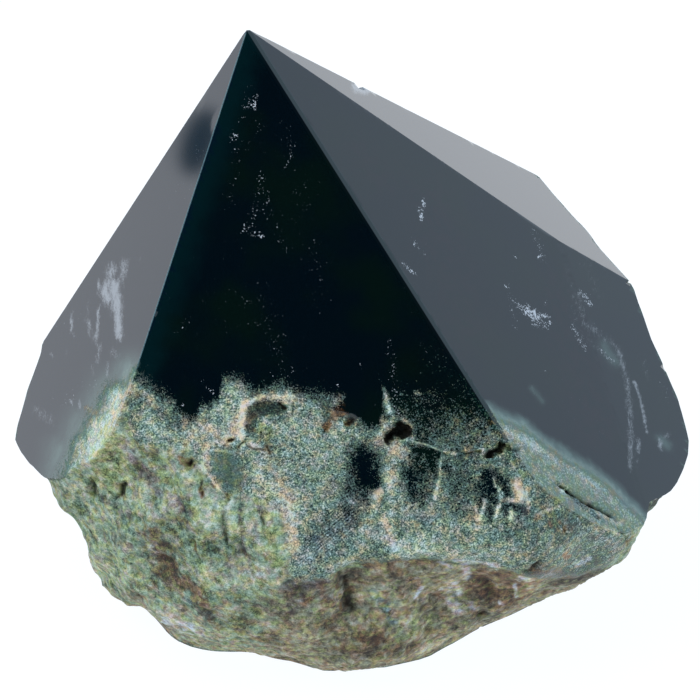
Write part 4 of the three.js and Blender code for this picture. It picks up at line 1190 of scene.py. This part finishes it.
flag_up = (flag_up - 2 * left_normal * left_normal.dot(flag_up)).normalized()
flag_side = flag_up.cross(bounced).normalized()
flag_turn = Matrix((flag_side, flag_up, flag_side.cross(flag_up))).transposed().to_4x4()
flag_size = Matrix.Diagonal((*FLAG_HALF, 1, 1))
flag.matrix_world = Matrix.Translation(on_stone + bounced * FLAG_AWAY) @ flag_turn @ flag_size
bpy.context.scene.collection.objects.link(flag)
flag_black = bpy.data.materials.new("flag_black")
flag_black.use_nodes = True
flag_nodes = flag_black.node_tree.nodes
flag_links = flag_black.node_tree.links
flag_nodes.clear()
flag_place = flag_nodes.new("ShaderNodeTexCoord")
flag_middle = flag_nodes.new("ShaderNodeVectorMath")
flag_middle.operation = "LENGTH"
flag_links.new(flag_place.outputs["Object"], flag_middle.inputs[0])
flag_fade = flag_nodes.new("ShaderNodeMapRange")
flag_fade.interpolation_type = "SMOOTHSTEP"
flag_links.new(flag_middle.outputs["Value"], flag_fade.inputs["Value"])
flag_fade.inputs["From Min"].default_value = FLAG_CORE
flag_fade.inputs["From Max"].default_value = 1
flag_fade.inputs["To Min"].default_value = 1.0
flag_fade.inputs["To Max"].default_value = 0
flag_clear = flag_nodes.new("ShaderNodeBsdfTransparent")
flag_dark = flag_nodes.new("ShaderNodeBsdfDiffuse")
flag_dark.inputs["Color"].default_value = FLAG_TEAL
flag_mix = flag_nodes.new("ShaderNodeMixShader")
flag_links.new(flag_fade.outputs[0], flag_mix.inputs[0])
flag_links.new(flag_clear.outputs[0], flag_mix.inputs[1])
flag_links.new(flag_dark.outputs[0], flag_mix.inputs[2])
flag_out = flag_nodes.new("ShaderNodeOutputMaterial")
flag_links.new(flag_mix.outputs[0], flag_out.inputs[0])
flag_data.materials.append(flag_black)
flag.visible_camera = False
flag.visible_shadow = False

# one soft box high on the left, and a pale blue sky all round
KEY_WIDE = 1.0
KEY_POWER = 7
KEY_AWAY = 1.4
SKY_BLUE = (0.63, 0.78, 0.95, 1)
key_data = bpy.data.lights.new("soft_box", "AREA")
key_data.shape = "DISK"
key_data.size = KEY_WIDE
key_data.energy = KEY_POWER
key = bpy.data.objects.new("soft_box", key_data)
key_side = Vector((-0.55, -0.45, 0.95)).normalized()
key_turn = key_side.to_track_quat("Z", "Y").to_matrix().to_4x4()
key.matrix_world = Matrix.Translation(aim + KEY_AWAY * key_side) @ key_turn
bpy.context.scene.collection.objects.link(key)

world = bpy.data.worlds.new("studio")
world.use_nodes = True
world.node_tree.nodes["Background"].inputs["Color"].default_value = SKY_BLUE
world.node_tree.nodes["Background"].inputs["Strength"].default_value = 1
bpy.context.scene.world = world
bpy.context.scene.view_settings.view_transform = "Standard"
